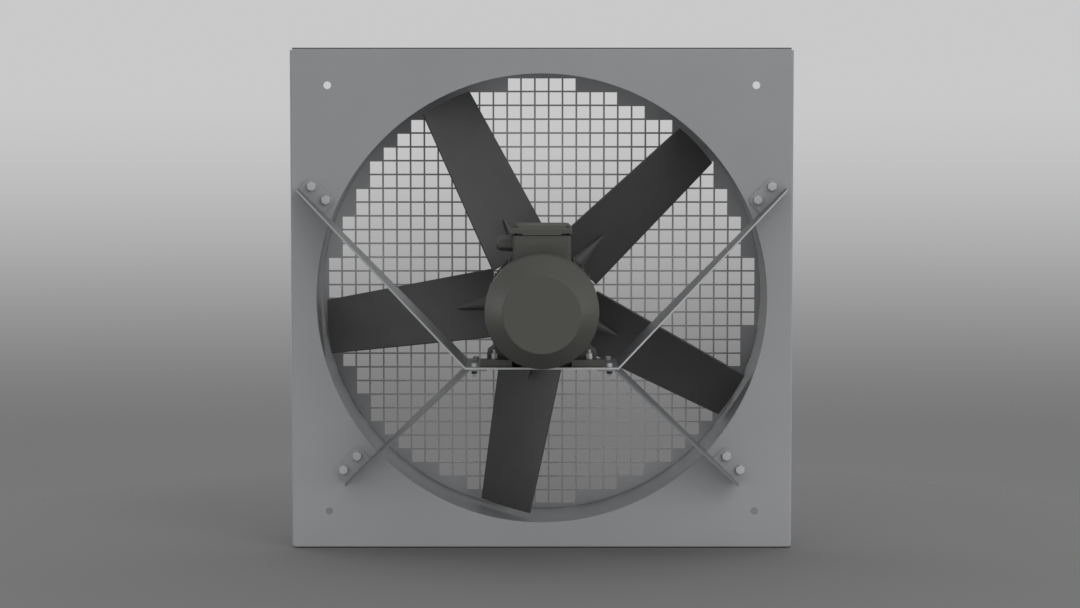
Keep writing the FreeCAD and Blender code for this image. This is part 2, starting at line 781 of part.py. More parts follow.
def foot_fasteners():
    sink = "(fixing_screw_head_height + hole_clearance)"
    length = f"axis_height - {sink} - seat_level + fixing_screw_reach"
    fixing = round_screw("fixing_screw_pattern", "fixing_screw", "fixing_screw_head",
                         "fixing_screw_head_height", length)
    fixing_places = [(f"{sign} * fixing_screw_half", f"-{forward}", f"{SHELF_TOP} + {sink}")
                     for sign in SIGNS for forward in FIXING_RUNS]
    group("foot_fixing_screws", fixing, fixing_places, "down")
    places = [(f"{sign} * foot_spacing_across / 2", f"-{forward}")
              for sign in SIGNS for forward in FOOT_BOLT_RUNS]
    bolt = hex_bolt("foot_bolt_pattern", "foot_bolt", "foot_bolt_across", "foot_bolt_head",
                    "bracket_sheet + foot_pad + foot_nut_height + bracket_thread_end")
    nut = hex_nut("foot_nut_pattern", "foot_bolt", "foot_bolt_across", "foot_nut_height")
    group("foot_bolts", bolt, [(x, y, SHELF_UNDER) for x, y in places], "down")
    group("foot_nuts", nut, [(x, y, f"{SHELF_TOP} + foot_pad") for x, y in places], "up")


# Motor housing: finned tube with seats for the feet and the terminal box, its fins cut away round both
TIE_ACROSS = "tie_circle / 2 * cos(tie_turn * 1deg)"
TIE_UP = "tie_circle / 2 * sin(tie_turn * 1deg)"
TIE_PLACES = [(f"{side} * {TIE_ACROSS}", f"{level} * {TIE_UP}") for side in SIGNS for level in SIGNS]
BOX_MIDDLE = "((box_back + box_front) / 2)"
BOX_SCREW_PLACES = [(f"{side} * box_screw_half", f"-{BOX_MIDDLE} + {along} * box_screw_half")
                    for side in SIGNS for along in SIGNS]


def motor_housing():
    body = new_body("motor_housing")
    spun(body, [("0", "housing_drive"), ("housing_radius", "housing_drive"),
                ("housing_radius", "housing_rear"), ("0", "housing_rear")])
    fin_sketch = sketch_on(body, "XZ_Plane", "housing_drive + fin_inset")
    rectangle(fin_sketch, "-fin_thickness / 2", "fin_thickness / 2", "housing_bore / 2", "fin_tip_radius")
    fin = pad(body, fin_sketch, "housing_rear - housing_drive - 2 * fin_inset")
    around_axis(body, [fin], "fin_count")
    bosses = sketch_on(body, "XZ_Plane", "housing_drive")
    for across, up in TIE_PLACES:
        circle(bosses, across, up, "tie_boss")
    pad(body, bosses, "housing_rear - housing_drive")
    relief = sketch_on(body, "XZ_Plane", "foot_web_front + hole_clearance")
    for sign in SIGNS:
        rectangle(relief, f"{sign} * (foot_inner - hole_clearance)", f"{sign} * foot_outer", SHELF_TOP,
                  "-seat_level")
    pocket(body, relief, "foot_web_front - foot_web_back + 2 * hole_clearance")
    seats = sketch_on(body, "XZ_Plane", "foot_web_back")
    for sign in SIGNS:
        outline(seats, [(f"{sign} * seat_inner", "-seat_level"), (f"{sign} * seat_outer", "-seat_level"),
                        (f"{sign} * housing_radius * cos(36deg)", "-housing_radius * sin(36deg)"),
                        (f"{sign} * housing_bore / 2 * cos(45deg)", "-housing_bore / 2 * sin(45deg)")])
    pad(body, seats, "foot_web_front - foot_web_back")
    box_seat = sketch_on(body, "XZ_Plane", "box_back + box_wall")
    rectangle(box_seat, "-terminal_seat_half", "terminal_seat_half", "0", "box_level")
    pad(body, box_seat, "box_front - box_back - 2 * box_wall")
    under_box = sketch_on(body, "XY_Plane", "box_level")
    box_outline(under_box, "-hole_clearance")
    level = pocket(body, under_box, "box_height")
    level.Reversed = True
    bore = sketch_on(body, "XZ_Plane")
    circle(bore, "0", "0", "housing_bore")
    cut_through(body, bore)
    ties = sketch_on(body, "XZ_Plane")
    for across, up in TIE_PLACES:
        circle(ties, across, up, "tie_bolt + hole_clearance")
    cut_through(body, ties)
    tapped = sketch_on(body, "XY_Plane", "-seat_level + fixing_screw_reach + thread_end")
    for sign in SIGNS:
        for forward in FIXING_RUNS:
            circle(tapped, f"{sign} * fixing_screw_half", f"-{forward}", "fixing_screw + thread_clearance")
    pocket(body, tapped, "fixing_screw_reach + thread_end")
    box_holes = sketch_on(body, "XY_Plane", "box_level")
    for across, back in BOX_SCREW_PLACES:
        circle(box_holes, across, back, "box_screw + thread_clearance")
    pocket(body, box_holes, "box_screw_reach + thread_end")
    return keep(body, "motor_housing")


# End shields, each carrying a bearing
BEARING_SEAT = "(bearing_outside / 2 + fit)"
SPIGOT = "(housing_bore / 2 - fit)"


def tie_holes(body):
    sketch = sketch_on(body, "XZ_Plane")
    for across, up in TIE_PLACES:
        circle(sketch, across, up, "tie_bolt + hole_clearance")
    cut_through(body, sketch)


def end_shield(label, face, outward, bearing_back, bearing_front):
    """A shield on the housing's end face; outward is the sign of forward, away from the housing."""
    body = new_body(label)

    def at(distance):
        return f"{face} + {outward} * ({distance})"

    lip_inside = bearing_front
    lip_outside = f"{bearing_front} + {outward} * shield_lip"
    bore = "(shaft_end / 2 + shield_lip)"
    boss = "bearing_boss / 2"
    web = at("shield_rim - shield_web")
    spigot_end = at("-spigot_depth")
    spigot_inside = f"{SPIGOT} - spigot_wall"
    spun(body, [(bore, lip_outside), (bore, lip_inside), (BEARING_SEAT, lip_inside),
                (BEARING_SEAT, bearing_back), (boss, bearing_back), (boss, web), (spigot_inside, web),
                (spigot_inside, spigot_end), (SPIGOT, spigot_end), (SPIGOT, face), ("shield_radius", face),
                ("shield_radius", at("shield_rim")), (boss, at("shield_rim")), (boss, lip_outside)])
    tie_holes(body)
    return body


REAR_BEARING_BACK = "(housing_rear - bearing_width)"
REAR_LIP = "(housing_rear + spring_thickness)"
DRIVE_BEARING_BACK = "(housing_drive + bearing_width - 2 * shield_lip)"
DRIVE_BEARING_FRONT = "(housing_drive - 2 * shield_lip)"


def drive_end_shield():
    body = end_shield("drive_end_shield", "housing_drive", "-1", DRIVE_BEARING_BACK, DRIVE_BEARING_FRONT)
    return keep(body, "drive_end_shield")


def tie_fasteners():
    span = "housing_rear - housing_drive + 2 * shield_rim"
    bolt = hex_bolt("tie_bolt_pattern", "tie_bolt", "tie_head", "tie_head_height",
                    f"{span} + tie_head_height + thread_end")
    nut = hex_nut("tie_nut_pattern", "tie_bolt", "tie_head", "tie_head_height")
    group("tie_bolts", bolt, [(x, "-housing_rear - shield_rim", z) for x, z in TIE_PLACES], "forward")
    group("tie_nuts", nut, [(x, "-housing_drive + shield_rim", z) for x, z in TIE_PLACES], "back")


# Rear cover with countersunk screws through its skirt into the shield's rim
COVER_SCREW_TURNS = (45, 135, 225, 315)
COVER_SCREW_FORWARD = "(housing_rear + shield_rim / 2)"


def countersink(name, grow):
    """A countersunk screw, or its hole, lying along Z with the head's top at the cover's surface."""
    cone = doc.addObject("Part::Cone", name + "_head")
    cone.setExpression("Radius1", bound(f"cover_screw / 2 + {grow}"))
    cone.setExpression("Radius2", bound(f"cover_screw_head / 2 + {grow}"))
    cone.setExpression("Height", bound("cover_screw_head_depth"))
    cone.setExpression(".Placement.Base.z", bound("cover_radius - cover_screw_head_depth - fit"))
    shank = doc.addObject("Part::Cylinder", name + "_shank")
    shank.setExpression("Radius", bound(f"cover_screw / 2 + {grow}"))
    shank.setExpression("Height", bound(f"cover_screw_length - cover_screw_head_depth + {grow}"))
    shank.setExpression(".Placement.Base.z", bound(f"cover_radius - cover_screw_length - fit - {grow}"))
    screw = doc.addObject("Part::Fuse", name)
    screw.Base = cone
    screw.Tool = shank
    return screw


def screw_ring(name, pattern):
    copies = []
    for turn in COVER_SCREW_TURNS:
        copy = doc.addObject("App::Link", name + "_copy")
        copy.LinkedObject = pattern
        copy.LinkTransform = True
        copy.Placement = Placement(Vector(), Rotation(Vector(0, 1, 0), turn))
        copy.setExpression(".Placement.Base.y", bound(f"-{COVER_SCREW_FORWARD}"))
        copies.append(copy)
    ring = doc.addObject("Part::Compound", name)
    ring.Links = copies
    return ring


def drilled(label, base, tools):
    part = doc.addObject("Part::Cut", label + "_drilled")
    part.Base = base
    part.Tool = tools
    return keep(part, label)


def rear_cover_and_shield():
    rear_shield = end_shield("rear_shield_turned", "housing_rear", "1", REAR_BEARING_BACK, REAR_LIP)
    body = new_body("rear_cover_shell")
    skirt = "(housing_rear + spring_thickness)"
    inside = "(cover_radius - cover_wall)"
    shell = spun(body, [(inside, skirt), ("cover_radius", skirt), ("cover_radius", "cover_shoulder"),
                        ("cover_disc_radius", "cover_front"), ("0", "cover_front"),
                        ("0", "cover_front - cover_wall"),
                        ("cover_disc_radius - cover_wall / 2", "cover_front - cover_wall"),
                        (inside, "cover_shoulder - cover_wall / 2")])
    shoulder = rounded(body, shell, "cover_shoulder_round", ring_edge("cover_radius", "cover_shoulder"))
    rounded(body, shoulder, "cover_disc_round", ring_edge("cover_disc_radius", "cover_front"))
    holes = screw_ring("cover_screw_holes", countersink("cover_screw_hole", "fit"))
    drilled("rear_cover", body, holes)
    drilled("rear_end_shield", rear_shield, holes)
    keep(screw_ring("rear_cover_screws", countersink("cover_screw_pattern", "0")), "rear_cover_screws")


# Bearings
def bearing(name, back, front):
    middle = f"(({back} + {front}) / 2)"
    pitch = "((bearing_inner_land + bearing_outer_land) / 4)"
    outer = new_body(name + "_outer")
    spun(outer, ring_corners("bearing_outer_land / 2", "bearing_outside / 2", back, front))
    groove(outer, pitch, middle, "ball_running_groove")
    keep(outer, name + "_outer")
    inner = new_body(name + "_inner")
    spun(inner, ring_corners("bearing_bore / 2", "bearing_inner_land / 2", back, front))
    groove(inner, pitch, middle, "ball_groove")
    keep(inner, name + "_inner")
    balls = []
    for index in range(int(SIZES["ball_count"])):
        ball = doc.addObject("Part::Sphere", name + "_ball")
        ball.setExpression("Radius", bound("ball / 2"))
        turn = f"{index} * 360deg / ball_count"
        ball.setExpression(".Placement.Base.x", bound(f"{pitch} * sin({turn})"))
        ball.setExpression(".Placement.Base.y", bound(f"-{middle}"))
        ball.setExpression(".Placement.Base.z", bound(f"{pitch} * cos({turn})"))
        balls.append(ball)
    compound = doc.addObject("Part::Compound", name + "_balls")
    compound.Links = balls
    keep(compound, name + "_balls")


# Shaft, rotor and stator
HUB_SEAT = "(shaft_end / 2 + fit / 2)"
HUB_END = "(hub_plane + hub_half + hub_boss_length)"
SHAFT_REACH = f"({HUB_END} - shaft_setback)"
JOURNAL = "bearing_bore / 2 - fit / 2"


def shaft():
    body = new_body("shaft")
    rear_end = "housing_rear + shield_lip"
    spun(body, [("0", f"-{SHAFT_REACH}"), ("shaft_end / 2", f"-{SHAFT_REACH}"),
                ("shaft_end / 2", DRIVE_BEARING_FRONT), (JOURNAL, DRIVE_BEARING_FRONT),
                (JOURNAL, DRIVE_BEARING_BACK), ("shaft_core / 2", DRIVE_BEARING_BACK),
                ("shaft_core / 2", REAR_BEARING_BACK), (JOURNAL, REAR_BEARING_BACK), (JOURNAL, rear_end),
                ("0", rear_end)])
    slot = sketch_on(body, "XY_Plane", "shaft_end / 2 + key_height")
    rectangle(slot, "-key_width / 2", "key_width / 2", "hub_plane - key_length / 2",
              "hub_plane + key_length / 2")
    pocket(body, slot, "key_height + key_depth")
    tapped = sketch_on(body, "XZ_Plane", f"-{SHAFT_REACH} + hub_bolt_reach + thread_end")
    circle(tapped, "0", "0", "hub_bolt + thread_clearance")
    pocket(body, tapped, "hub_bolt_reach + thread_end")
    return keep(body, "shaft")


def hub_key():
    body = new_body("hub_key")
    sketch = sketch_on(body, "XY_Plane", "shaft_end / 2 - key_depth")
    rectangle(sketch, "-key_width / 2 + fit", "key_width / 2 - fit", "hub_plane - key_length / 2 + fit",
              "hub_plane + key_length / 2 - fit")
    pad(body, sketch, "key_height")
    return keep(body, "hub_key")


def rotor_and_stator():
    rotor_radius = "(stator_bore / 2 - air_gap)"
    bore = "(shaft_core / 2 + fit / 2)"
    turned("rotor_core", ring_corners(bore, rotor_radius, "core_drive", "core_rear"))
    ring = new_body("cage_ring_pattern")
    spun(ring, ring_corners("cage_ring_inner / 2", rotor_radius, "0", "cage_ring_width"))
    ring_ends = [("0", "-core_rear", "0"), ("0", "-core_drive + cage_ring_width", "0")]
    group("rotor_end_rings", ring, ring_ends, "up")
    turned("stator_core", ring_corners("stator_bore / 2", SPIGOT, "core_drive", "core_rear"))
    winding = new_body("winding_pattern")
    spun(winding, ring_corners("winding_inner / 2", "winding_outer / 2", "0", "winding_overhang"))
    ends = [("0", "-core_rear", "0"), ("0", "-core_drive + winding_overhang", "0")]
    group("stator_windings", winding, ends, "up")


def shaft_trim():
    turned("preload_spring", ring_corners("bearing_outer_land / 2 + fit", "bearing_outside / 2 - fit",
                                          "housing_rear", "housing_rear + spring_thickness"))
    face = f"({DRIVE_BEARING_FRONT} - shield_lip - seal_gap)"
    turned("shaft_seal", [(HUB_SEAT, face), ("seal_outside / 2", face),
                          ("seal_outside / 2 - shield_lip / 2", f"{face} - seal_width"),
                          (HUB_SEAT, f"{face} - seal_width")])


# Terminal box
BOX_TOP = "(box_level + box_height)"
LID_BASE = f"({BOX_TOP} + gasket_thickness)"
LID_OVERHANG = "((lid_width - box_width) / 2)"
BOX_HALF = "(box_front - box_back) / 2"
POST_ACROSS = "(box_width - lid_post) / 2"
POST_ALONG = "(box_front - box_back - lid_post) / 2"
LID_POSTS = [(f"{side} * {POST_ACROSS}", f"-{BOX_MIDDLE} + {along} * {POST_ALONG}")
             for side in SIGNS for along in SIGNS]


def box_outline(sketch, inset):
    rectangle(sketch, f"-(box_width / 2 - {inset})", f"box_width / 2 - {inset}", f"-(box_front - {inset})",
              f"-(box_back + {inset})")


def terminal_box():
    body = new_body("terminal_box")
    walls = sketch_on(body, "XY_Plane", "box_level")
    box_outline(walls, "0")
    block = pad(body, walls, "box_height")
    rounded(body, block, "box_corner", straight_edge(Vector(0, 0, 1)))
    hollow = sketch_on(body, "XY_Plane", BOX_TOP)
    box_outline(hollow, "box_wall")
    pocket(body, hollow, "box_height - box_wall")
    posts = sketch_on(body, "XY_Plane", "box_level")
    for across, back in LID_POSTS:
        circle(posts, across, back, "lid_post")
    pad(body, posts, "box_height")
    tapped = sketch_on(body, "XY_Plane", BOX_TOP)
    for across, back in LID_POSTS:
        circle(tapped, across, back, "lid_screw + thread_clearance")
    pocket(body, tapped, "box_height - box_wall")
    holes = sketch_on(body, "XY_Plane", "box_level + box_wall")
    for across, back in BOX_SCREW_PLACES:
        circle(holes, across, back, "box_screw + hole_clearance")
    pocket(body, holes, "box_wall")
    entry = sketch_on(body, "YZ_Plane", "-box_width / 2 + box_wall")
    circle(entry, f"-{BOX_MIDDLE}", "gland_level", "gland_thread + thread_clearance")
    pocket(body, entry, "box_wall")
    return keep(body, "terminal_box")


def terminal_gasket():
    body = new_body("terminal_gasket")
    sketch = sketch_on(body, "XY_Plane", BOX_TOP)
    box_outline(sketch, "box_wall / 2")
    block = pad(body, sketch, "gasket_thickness")
    rounded(body, block, "box_corner - box_wall / 2", straight_edge(Vector(0, 0, 1)))
    middle = sketch_on(body, "XY_Plane", BOX_TOP)
    box_outline(middle, "lid_post")
    cut_through(body, middle)
    holes = sketch_on(body, "XY_Plane", BOX_TOP)
    for across, back in LID_POSTS:
        circle(holes, across, back, "lid_screw + hole_clearance")
    cut_through(body, holes)
    return keep(body, "terminal_gasket")


def terminal_lid():
    body = new_body("terminal_lid")
    sketch = sketch_on(body, "XY_Plane", LID_BASE)
    box_outline(sketch, f"-{LID_OVERHANG}")
    block = pad(body, sketch, "lid_height")

    def top_edge(edge):
        return abs(edge.CenterOfMass.z - value(f"{LID_BASE} + lid_height")) < 1e-4

    doc.recompute()
    edges = [f"Edge{number}" for number, edge in enumerate(block.Shape.Edges, start=1) if top_edge(edge)]
    bevel = body.newObject("PartDesign::Chamfer", "terminal_lid_bevel")
    bevel.Base = (block, edges)
    bevel.setExpression("Size", bound("lid_chamfer"))
    hollow = sketch_on(body, "XY_Plane", LID_BASE)
    box_outline(hollow, "lid_post")
    cavity = pocket(body, hollow, "lid_height - lid_wall")
    cavity.Reversed = True
    slots = sketch_on(body, "XY_Plane", LID_BASE)
    for side in SIGNS:
        for along in SIGNS:
            edge_x = f"{side} * (lid_width / 2 + hole_clearance)"
            inner_x = f"{side} * (lid_width / 2 - lid_slot_length)"
            edge_y = f"-{BOX_MIDDLE} + {along} * ({BOX_HALF} + {LID_OVERHANG} + hole_clearance)"
            inner_y = f"-{BOX_MIDDLE} + {along} * ({BOX_HALF} + {LID_OVERHANG} - lid_slot_depth)"
            rectangle(slots, inner_x, edge_x, inner_y, edge_y)
    notch = pocket(body, slots, "lid_slot_height")
    notch.Reversed = True
    holes = sketch_on(body, "XY_Plane", LID_BASE)
    for across, back in LID_POSTS:
        circle(holes, across, back, "lid_screw + hole_clearance")
    cut_through(body, holes)
    sinks = sketch_on(body, "XY_Plane", f"{LID_BASE} + lid_height")
    for across, back in LID_POSTS:
        circle(sinks, across, back, "lid_screw_head + hole_clearance")
    pocket(body, sinks, "lid_chamfer + lid_screw_head_height")
    return keep(body, "terminal_lid")


def terminal_fittings():
    seat = f"{LID_BASE} + lid_height - lid_chamfer - lid_screw_head_height"
    length = "gasket_thickness + lid_height - lid_chamfer - lid_screw_head_height + box_height / 2"
    screw = round_screw("lid_screw_pattern", "lid_screw", "lid_screw_head", "lid_screw_head_height", length)
    group("terminal_lid_screws", screw, [(x, y, seat) for x, y in LID_POSTS], "up")
    floor = "box_level + box_wall"
    box_screw = round_screw("box_screw_pattern", "box_screw", "box_screw_head", "box_screw_head_height",
                            "box_wall + box_screw_reach")
    group("terminal_box_screws", box_screw, [(x, y, floor) for x, y in BOX_SCREW_PLACES], "up")
    block = new_body("terminal_block")
    base = sketch_on(block, "XY_Plane", floor)
    rectangle(base, "-block_width / 2", "block_width / 2", f"-{BOX_MIDDLE} - block_depth / 2",
              f"-{BOX_MIDDLE} + block_depth / 2")
    pad(block, base, "block_height")
    top = f"{floor} + block_height"
    places = [(f"{column} * stud_spacing", f"-{BOX_MIDDLE} + {along} * stud_row / 2")
              for column in ("-1", "0", "1") for along in SIGNS]
    holes = sketch_on(block, "XY_Plane", top)
    for across, back in places:
        circle(holes, across, back, "stud + thread_clearance")
    pocket(block, holes, "stud_reach + thread_clearance")
    keep(block, "terminal_block")
    stud = hex_bolt("stud_pattern", "stud", "stud_across", "stud_nut_height", "stud_reach")
    group("terminal_studs", stud, [(x, y, top) for x, y in places], "up")


# Cable gland on the left wall of the box, axis along X
def gland_hexagon(body, start, length, across_flats, bore):
    sketch = sketch_on(body, "YZ_Plane", start)
    hexagon(sketch, across_flats, f"-{BOX_MIDDLE}", "gland_level")
    circle(sketch, f"-{BOX_MIDDLE}", "gland_level", bore)
    return pad(body, sketch, length)


def gland_tube(body, start, length, outside, bore):
    sketch = sketch_on(body, "YZ_Plane", start)
    circle(sketch, f"-{BOX_MIDDLE}", "gland_level", outside)
    circle(sketch, f"-{BOX_MIDDLE}", "gland_level", bore)
    return pad(body, sketch, length)


def cable_gland():
    wall = "(-box_width / 2)"
    body = new_body("gland_body")
    gland_hexagon(body, f"{wall} - gland_collar", "gland_collar", "gland_across", "gland_bore")
    gland_tube(body, wall, "box_wall + gland_lock_height + thread_end", "gland_thread", "gland_bore")
    keep(body, "gland_body")
    nut = new_body("gland_nut")
    gland_hexagon(nut, f"{wall} - gland_collar - gland_nut_length", "gland_nut_length", "gland_nut_across",
                  "gland_seal_outside + thread_clearance")
    keep(nut, "gland_nut")
    seal = new_body("gland_seal")
    gland_tube(seal, f"{wall} - gland_collar - gland_nut_length", "gland_nut_length", "gland_seal_outside",
               "gland_bore")
    keep(seal, "gland_seal")
    lock = new_body("gland_locknut")
    gland_tube(lock, f"{wall} + box_wall", "gland_lock_height", "gland_nut_across",
               "gland_thread + thread_clearance")
    keep(lock, "gland_locknut")


# Hub: two halves clamped about the blade shanks
BLADE_TURN = "(90 - blade_start)"


def hub_half(label, outward):
    """One half of the hub; outward is the sign of forward, away from the split plane."""
    body = new_body(label)

    def at(distance):
        return f"-hub_plane + {outward} * ({distance})"

    spun(body, [(HUB_SEAT, at("0")), ("hub_radius", at("0")), ("hub_radius", at("hub_half")),
                ("hub_boss / 2", at("hub_half")), ("hub_boss / 2", at("hub_half + hub_boss_length")),
                (HUB_SEAT, at("hub_half + hub_boss_length"))])
    socket = sketch_on(body, "XY_Plane", "hub_radius + shank")
    circle(socket, "0", "hub_plane", "shank + fit")
    shank_socket = pocket(body, socket, "hub_radius + shank - shank_inner + fit")
    collar = sketch_on(body, "XY_Plane", "shank_collar_outer + fit")
    circle(collar, "0", "hub_plane", "shank_collar + fit")
    collar_socket = pocket(body, collar, "shank_collar_outer - shank_collar_inner + 2 * fit")
    around_axis(body, [shank_socket, collar_socket], "blade_count")
    hole = sketch_on(body, "XZ_Plane")
    turn = "180deg / blade_count"
    circle(hole, f"hub_screw_circle / 2 * sin({turn})", f"hub_screw_circle / 2 * cos({turn})",
           "hub_screw + hole_clearance")
    screw_hole = cut_through(body, hole)
    around_axis(body, [screw_hole], "blade_count")
    keyway = sketch_on(body, "XY_Plane", "shaft_end / 2 - key_depth + key_height + fit")
    rectangle(keyway, "-key_width / 2", "key_width / 2", "hub_plane - key_length", "hub_plane + key_length")
    pocket(body, keyway, "key_height")
    return keep(body, label)


def hub_fasteners():
    turns = [f"({index} + 0.5) * 360deg / blade_count" for index in range(int(SIZES["blade_count"]))]
    ring = [(f"hub_screw_circle / 2 * sin({turn})", f"hub_screw_circle / 2 * cos({turn})") for turn in turns]
    screw = hex_bolt("hub_screw_pattern", "hub_screw", "hub_screw_across", "hub_screw_head",
                     "2 * hub_half + hub_nut_height + thread_end")
    nut = hex_nut("hub_nut_pattern", "hub_screw", "hub_screw_across", "hub_nut_height")
    screws = group("hub_clamp_screws", screw, [(x, "hub_plane + hub_half", z) for x, z in ring], "back")
    nuts = group("hub_clamp_nuts", nut, [(x, "hub_plane - hub_half", z) for x, z in ring], "forward")
    washer = round_washer("hub_washer_pattern", "hub_bolt + hole_clearance", "hub_washer",
                          "hub_washer_thickness")
    group("hub_washer", washer, [("0", HUB_END, "0")], "back")
    bolt = hex_bolt("hub_bolt_pattern", "hub_bolt", "hub_bolt_across", "hub_bolt_head",
                    "hub_bolt_reach + hub_washer_thickness + shaft_setback")
    group("hub_bolt", bolt, [("0", f"{HUB_END} + hub_washer_thickness", "0")], "back")
    return [screws, nuts]


# Blades: cambered and pitched, on a round shank with a cone fairing on each face
def blade_section(radius, chord, pitch, thickness, camber):
    """A closed section of the blade at a radius: two arcs and two blunt edges, in a plane of constant Z."""
    along = Vector(math.cos(math.radians(pitch)), math.sin(math.radians(pitch)), 0)
    bulge = Vector(-along.y, along.x, 0)
    middle = Vector(0, 0, radius)
    edge = thickness / 4

    def at(run, height):
        return middle + along * run + bulge * height

    half = chord / 2
    upper = Part.Arc(at(-half, edge), at(0, camber + thickness / 2), at(half, edge)).toShape()
    lower = Part.Arc(at(half, -edge), at(0, camber - thickness / 2), at(-half, -edge)).toShape()
    trailing = Part.LineSegment(at(half, edge), at(half, -edge)).toShape()
    leading = Part.LineSegment(at(-half, -edge), at(-half, edge)).toShape()
    return Part.Wire([upper, trailing, lower, leading])


def blade_shape():
    root = value("blade_root")
    tip = value("impeller / 2")
    reach = tip + value("tip_chord") / 4
    pitch = value("blade_pitch")
    root_pitch = pitch + value("blade_twist") / 2
    tip_pitch = pitch - value("blade_twist") / 2
    thickness = value("blade_thickness")
    camber = value("blade_camber")
    sections = []
    for share in (0.0, 0.5, 1.0):
        radius = root + share * (reach - root)
        chord = value("root_chord") + share * (value("tip_chord") - value("root_chord"))
        turn = root_pitch + share * (tip_pitch - root_pitch)
        sections.append(blade_section(radius, chord, turn, thickness, camber))
    wing = Part.makeLoft(sections, True)
    trim = Part.makeCylinder(tip, 4 * reach, Vector(0, -2 * reach, 0), Vector(0, 1, 0))
    up = Vector(0, 0, 1)
    inner = value("shank_inner")
    shank_radius = value("shank / 2")
    apex = value("fairing_apex")
    shank = Part.makeCylinder(shank_radius, root - inner, Vector(0, 0, inner), up)
    collar = Part.makeCylinder(value("shank_collar / 2"), value("shank_collar_outer - shank_collar_inner"),
                               Vector(0, 0, value("shank_collar_inner")), up)
    fairing = Part.makeCone(shank_radius, thickness / 4, apex - root, Vector(0, 0, root), up)
    return wing.common(trim).fuse([shank, collar, fairing])


def blades():
    shape = blade_shape()
    middle = Vector(0, value("hub_plane"), 0)
    for index in range(int(SIZES["blade_count"])):
        part = doc.addObject("Part::Feature", f"blade_{index + 1}")
        part.Shape = shape
        turn = value(BLADE_TURN) - index * 360 / SIZES["blade_count"]
        part.Placement = Placement(middle, Rotation(Vector(0, 1, 0), turn))
        keep(part, f"blade_{index + 1}")


def turn_with_blades(part):
    """Turns a piece of the hub so that its pattern lines up with the blades."""
    part.Placement = Placement(Vector(), Rotation(Vector(0, 1, 0), value(BLADE_TURN)))


# The whole fan
wall_plate()
duct_ring()
guard_sheet()
guard_fasteners()
motor_cradle()
lower_arm("lower_arm_left", "-1")
lower_arm("lower_arm_right", "1")
bracket_fasteners()
motor_foot("motor_foot_left", "-1")
motor_foot("motor_foot_right", "1")
foot_fasteners()
motor_housing()
drive_end_shield()
rear_cover_and_shield()
tie_fasteners()
bearing("drive_bearing", DRIVE_BEARING_BACK, DRIVE_BEARING_FRONT)
bearing("rear_bearing", REAR_BEARING_BACK, "housing_rear")
rotor_and_stator()
shaft_trim()
terminal_box()
terminal_gasket()
terminal_lid()
terminal_fittings()
cable_gland()
turning = [shaft(), hub_key(), hub_half("hub_front", "1"), hub_half("hub_rear", "-1")] + hub_fasteners()
blades()
for piece in turning:
    turn_with_blades(piece)
doc.recompute()

# Every object must be sound before anything is written
faults = [item.Label for item in doc.Objects if {"Invalid", "Error"} & set(item.State)]
for part in nodes:
    if part.Shape.isNull() or not part.Shape.isValid():
        faults.append(part.Label)
if faults:
    raise RuntimeError("unsound objects: " + ", ".join(sorted(set(faults))))
os.makedirs("parts", exist_ok=True)
for part in nodes:
    part.Shape.exportStep(f"parts/{part.Label}.step")
    print(part.Label, len(part.Shape.Solids), round(part.Shape.Volume / 1000, 2))
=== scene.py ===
import json
import math

import bmesh
import bpy
from mathutils import Matrix, Vector


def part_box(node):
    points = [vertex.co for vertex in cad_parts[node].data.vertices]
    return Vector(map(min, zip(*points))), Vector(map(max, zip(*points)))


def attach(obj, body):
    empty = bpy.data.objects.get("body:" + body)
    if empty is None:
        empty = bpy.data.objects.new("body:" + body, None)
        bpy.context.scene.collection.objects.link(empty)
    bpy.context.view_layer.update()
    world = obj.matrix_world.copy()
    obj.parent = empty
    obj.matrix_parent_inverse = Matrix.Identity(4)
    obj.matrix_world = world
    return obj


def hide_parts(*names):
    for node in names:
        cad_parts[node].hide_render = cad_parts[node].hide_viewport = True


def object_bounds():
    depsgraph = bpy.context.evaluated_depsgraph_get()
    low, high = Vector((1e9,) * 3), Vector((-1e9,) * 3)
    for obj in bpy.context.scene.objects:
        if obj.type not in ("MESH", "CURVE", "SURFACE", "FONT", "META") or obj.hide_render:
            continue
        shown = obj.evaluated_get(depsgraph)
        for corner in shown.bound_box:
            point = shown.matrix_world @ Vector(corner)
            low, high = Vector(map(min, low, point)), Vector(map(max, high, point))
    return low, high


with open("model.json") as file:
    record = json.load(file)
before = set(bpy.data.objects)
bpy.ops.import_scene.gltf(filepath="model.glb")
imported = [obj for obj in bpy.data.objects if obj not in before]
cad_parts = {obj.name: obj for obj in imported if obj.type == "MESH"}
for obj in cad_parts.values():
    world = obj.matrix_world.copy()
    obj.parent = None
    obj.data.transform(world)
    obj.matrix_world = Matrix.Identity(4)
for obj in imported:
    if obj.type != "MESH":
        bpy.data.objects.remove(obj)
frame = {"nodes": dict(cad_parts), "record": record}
cad_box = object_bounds()
MM = 0.001
nodes = frame["nodes"]

# Where the sheet metal's colour is marked, in millimetres: painted shade on the arms and the plate's folds, a
# paler grey on the bracket's edges
EDGES_START = 10  # in front of the plate's face: the bracket's pale cut edges
ARMS_START = 4  # in front of the plate's face: the arms, clear of their feet
FOLD_WIDTH = 1.7  # in from the plate's top and bottom edges
FOLD_DEPTH = 3  # behind the plate's face
FACES_FRONT = -0.5  # a normal's Y below which a face is turned to the front


# Materials
def linear(code):
    """An sRGB hex colour as linear RGBA."""
    channels = [int(code[start:start + 2], 16) / 255 for start in (1, 3, 5)]
    return [c / 12.92 if c <= 0.04045 else ((c + 0.055) / 1.055) ** 2.4 for c in channels] + [1.0]


def add(tree, kind, inputs=None, **settings):
    """Adds a node with its settings; an input is a plain value or the output of another node."""
    node = tree.nodes.new(kind)
    for name, value in settings.items():
        setattr(node, name, value)
    for name, value in (inputs or {}).items():
        if isinstance(value, bpy.types.NodeSocket):
            tree.links.new(value, node.inputs[name])
        else:
            node.inputs[name].default_value = value
    return node


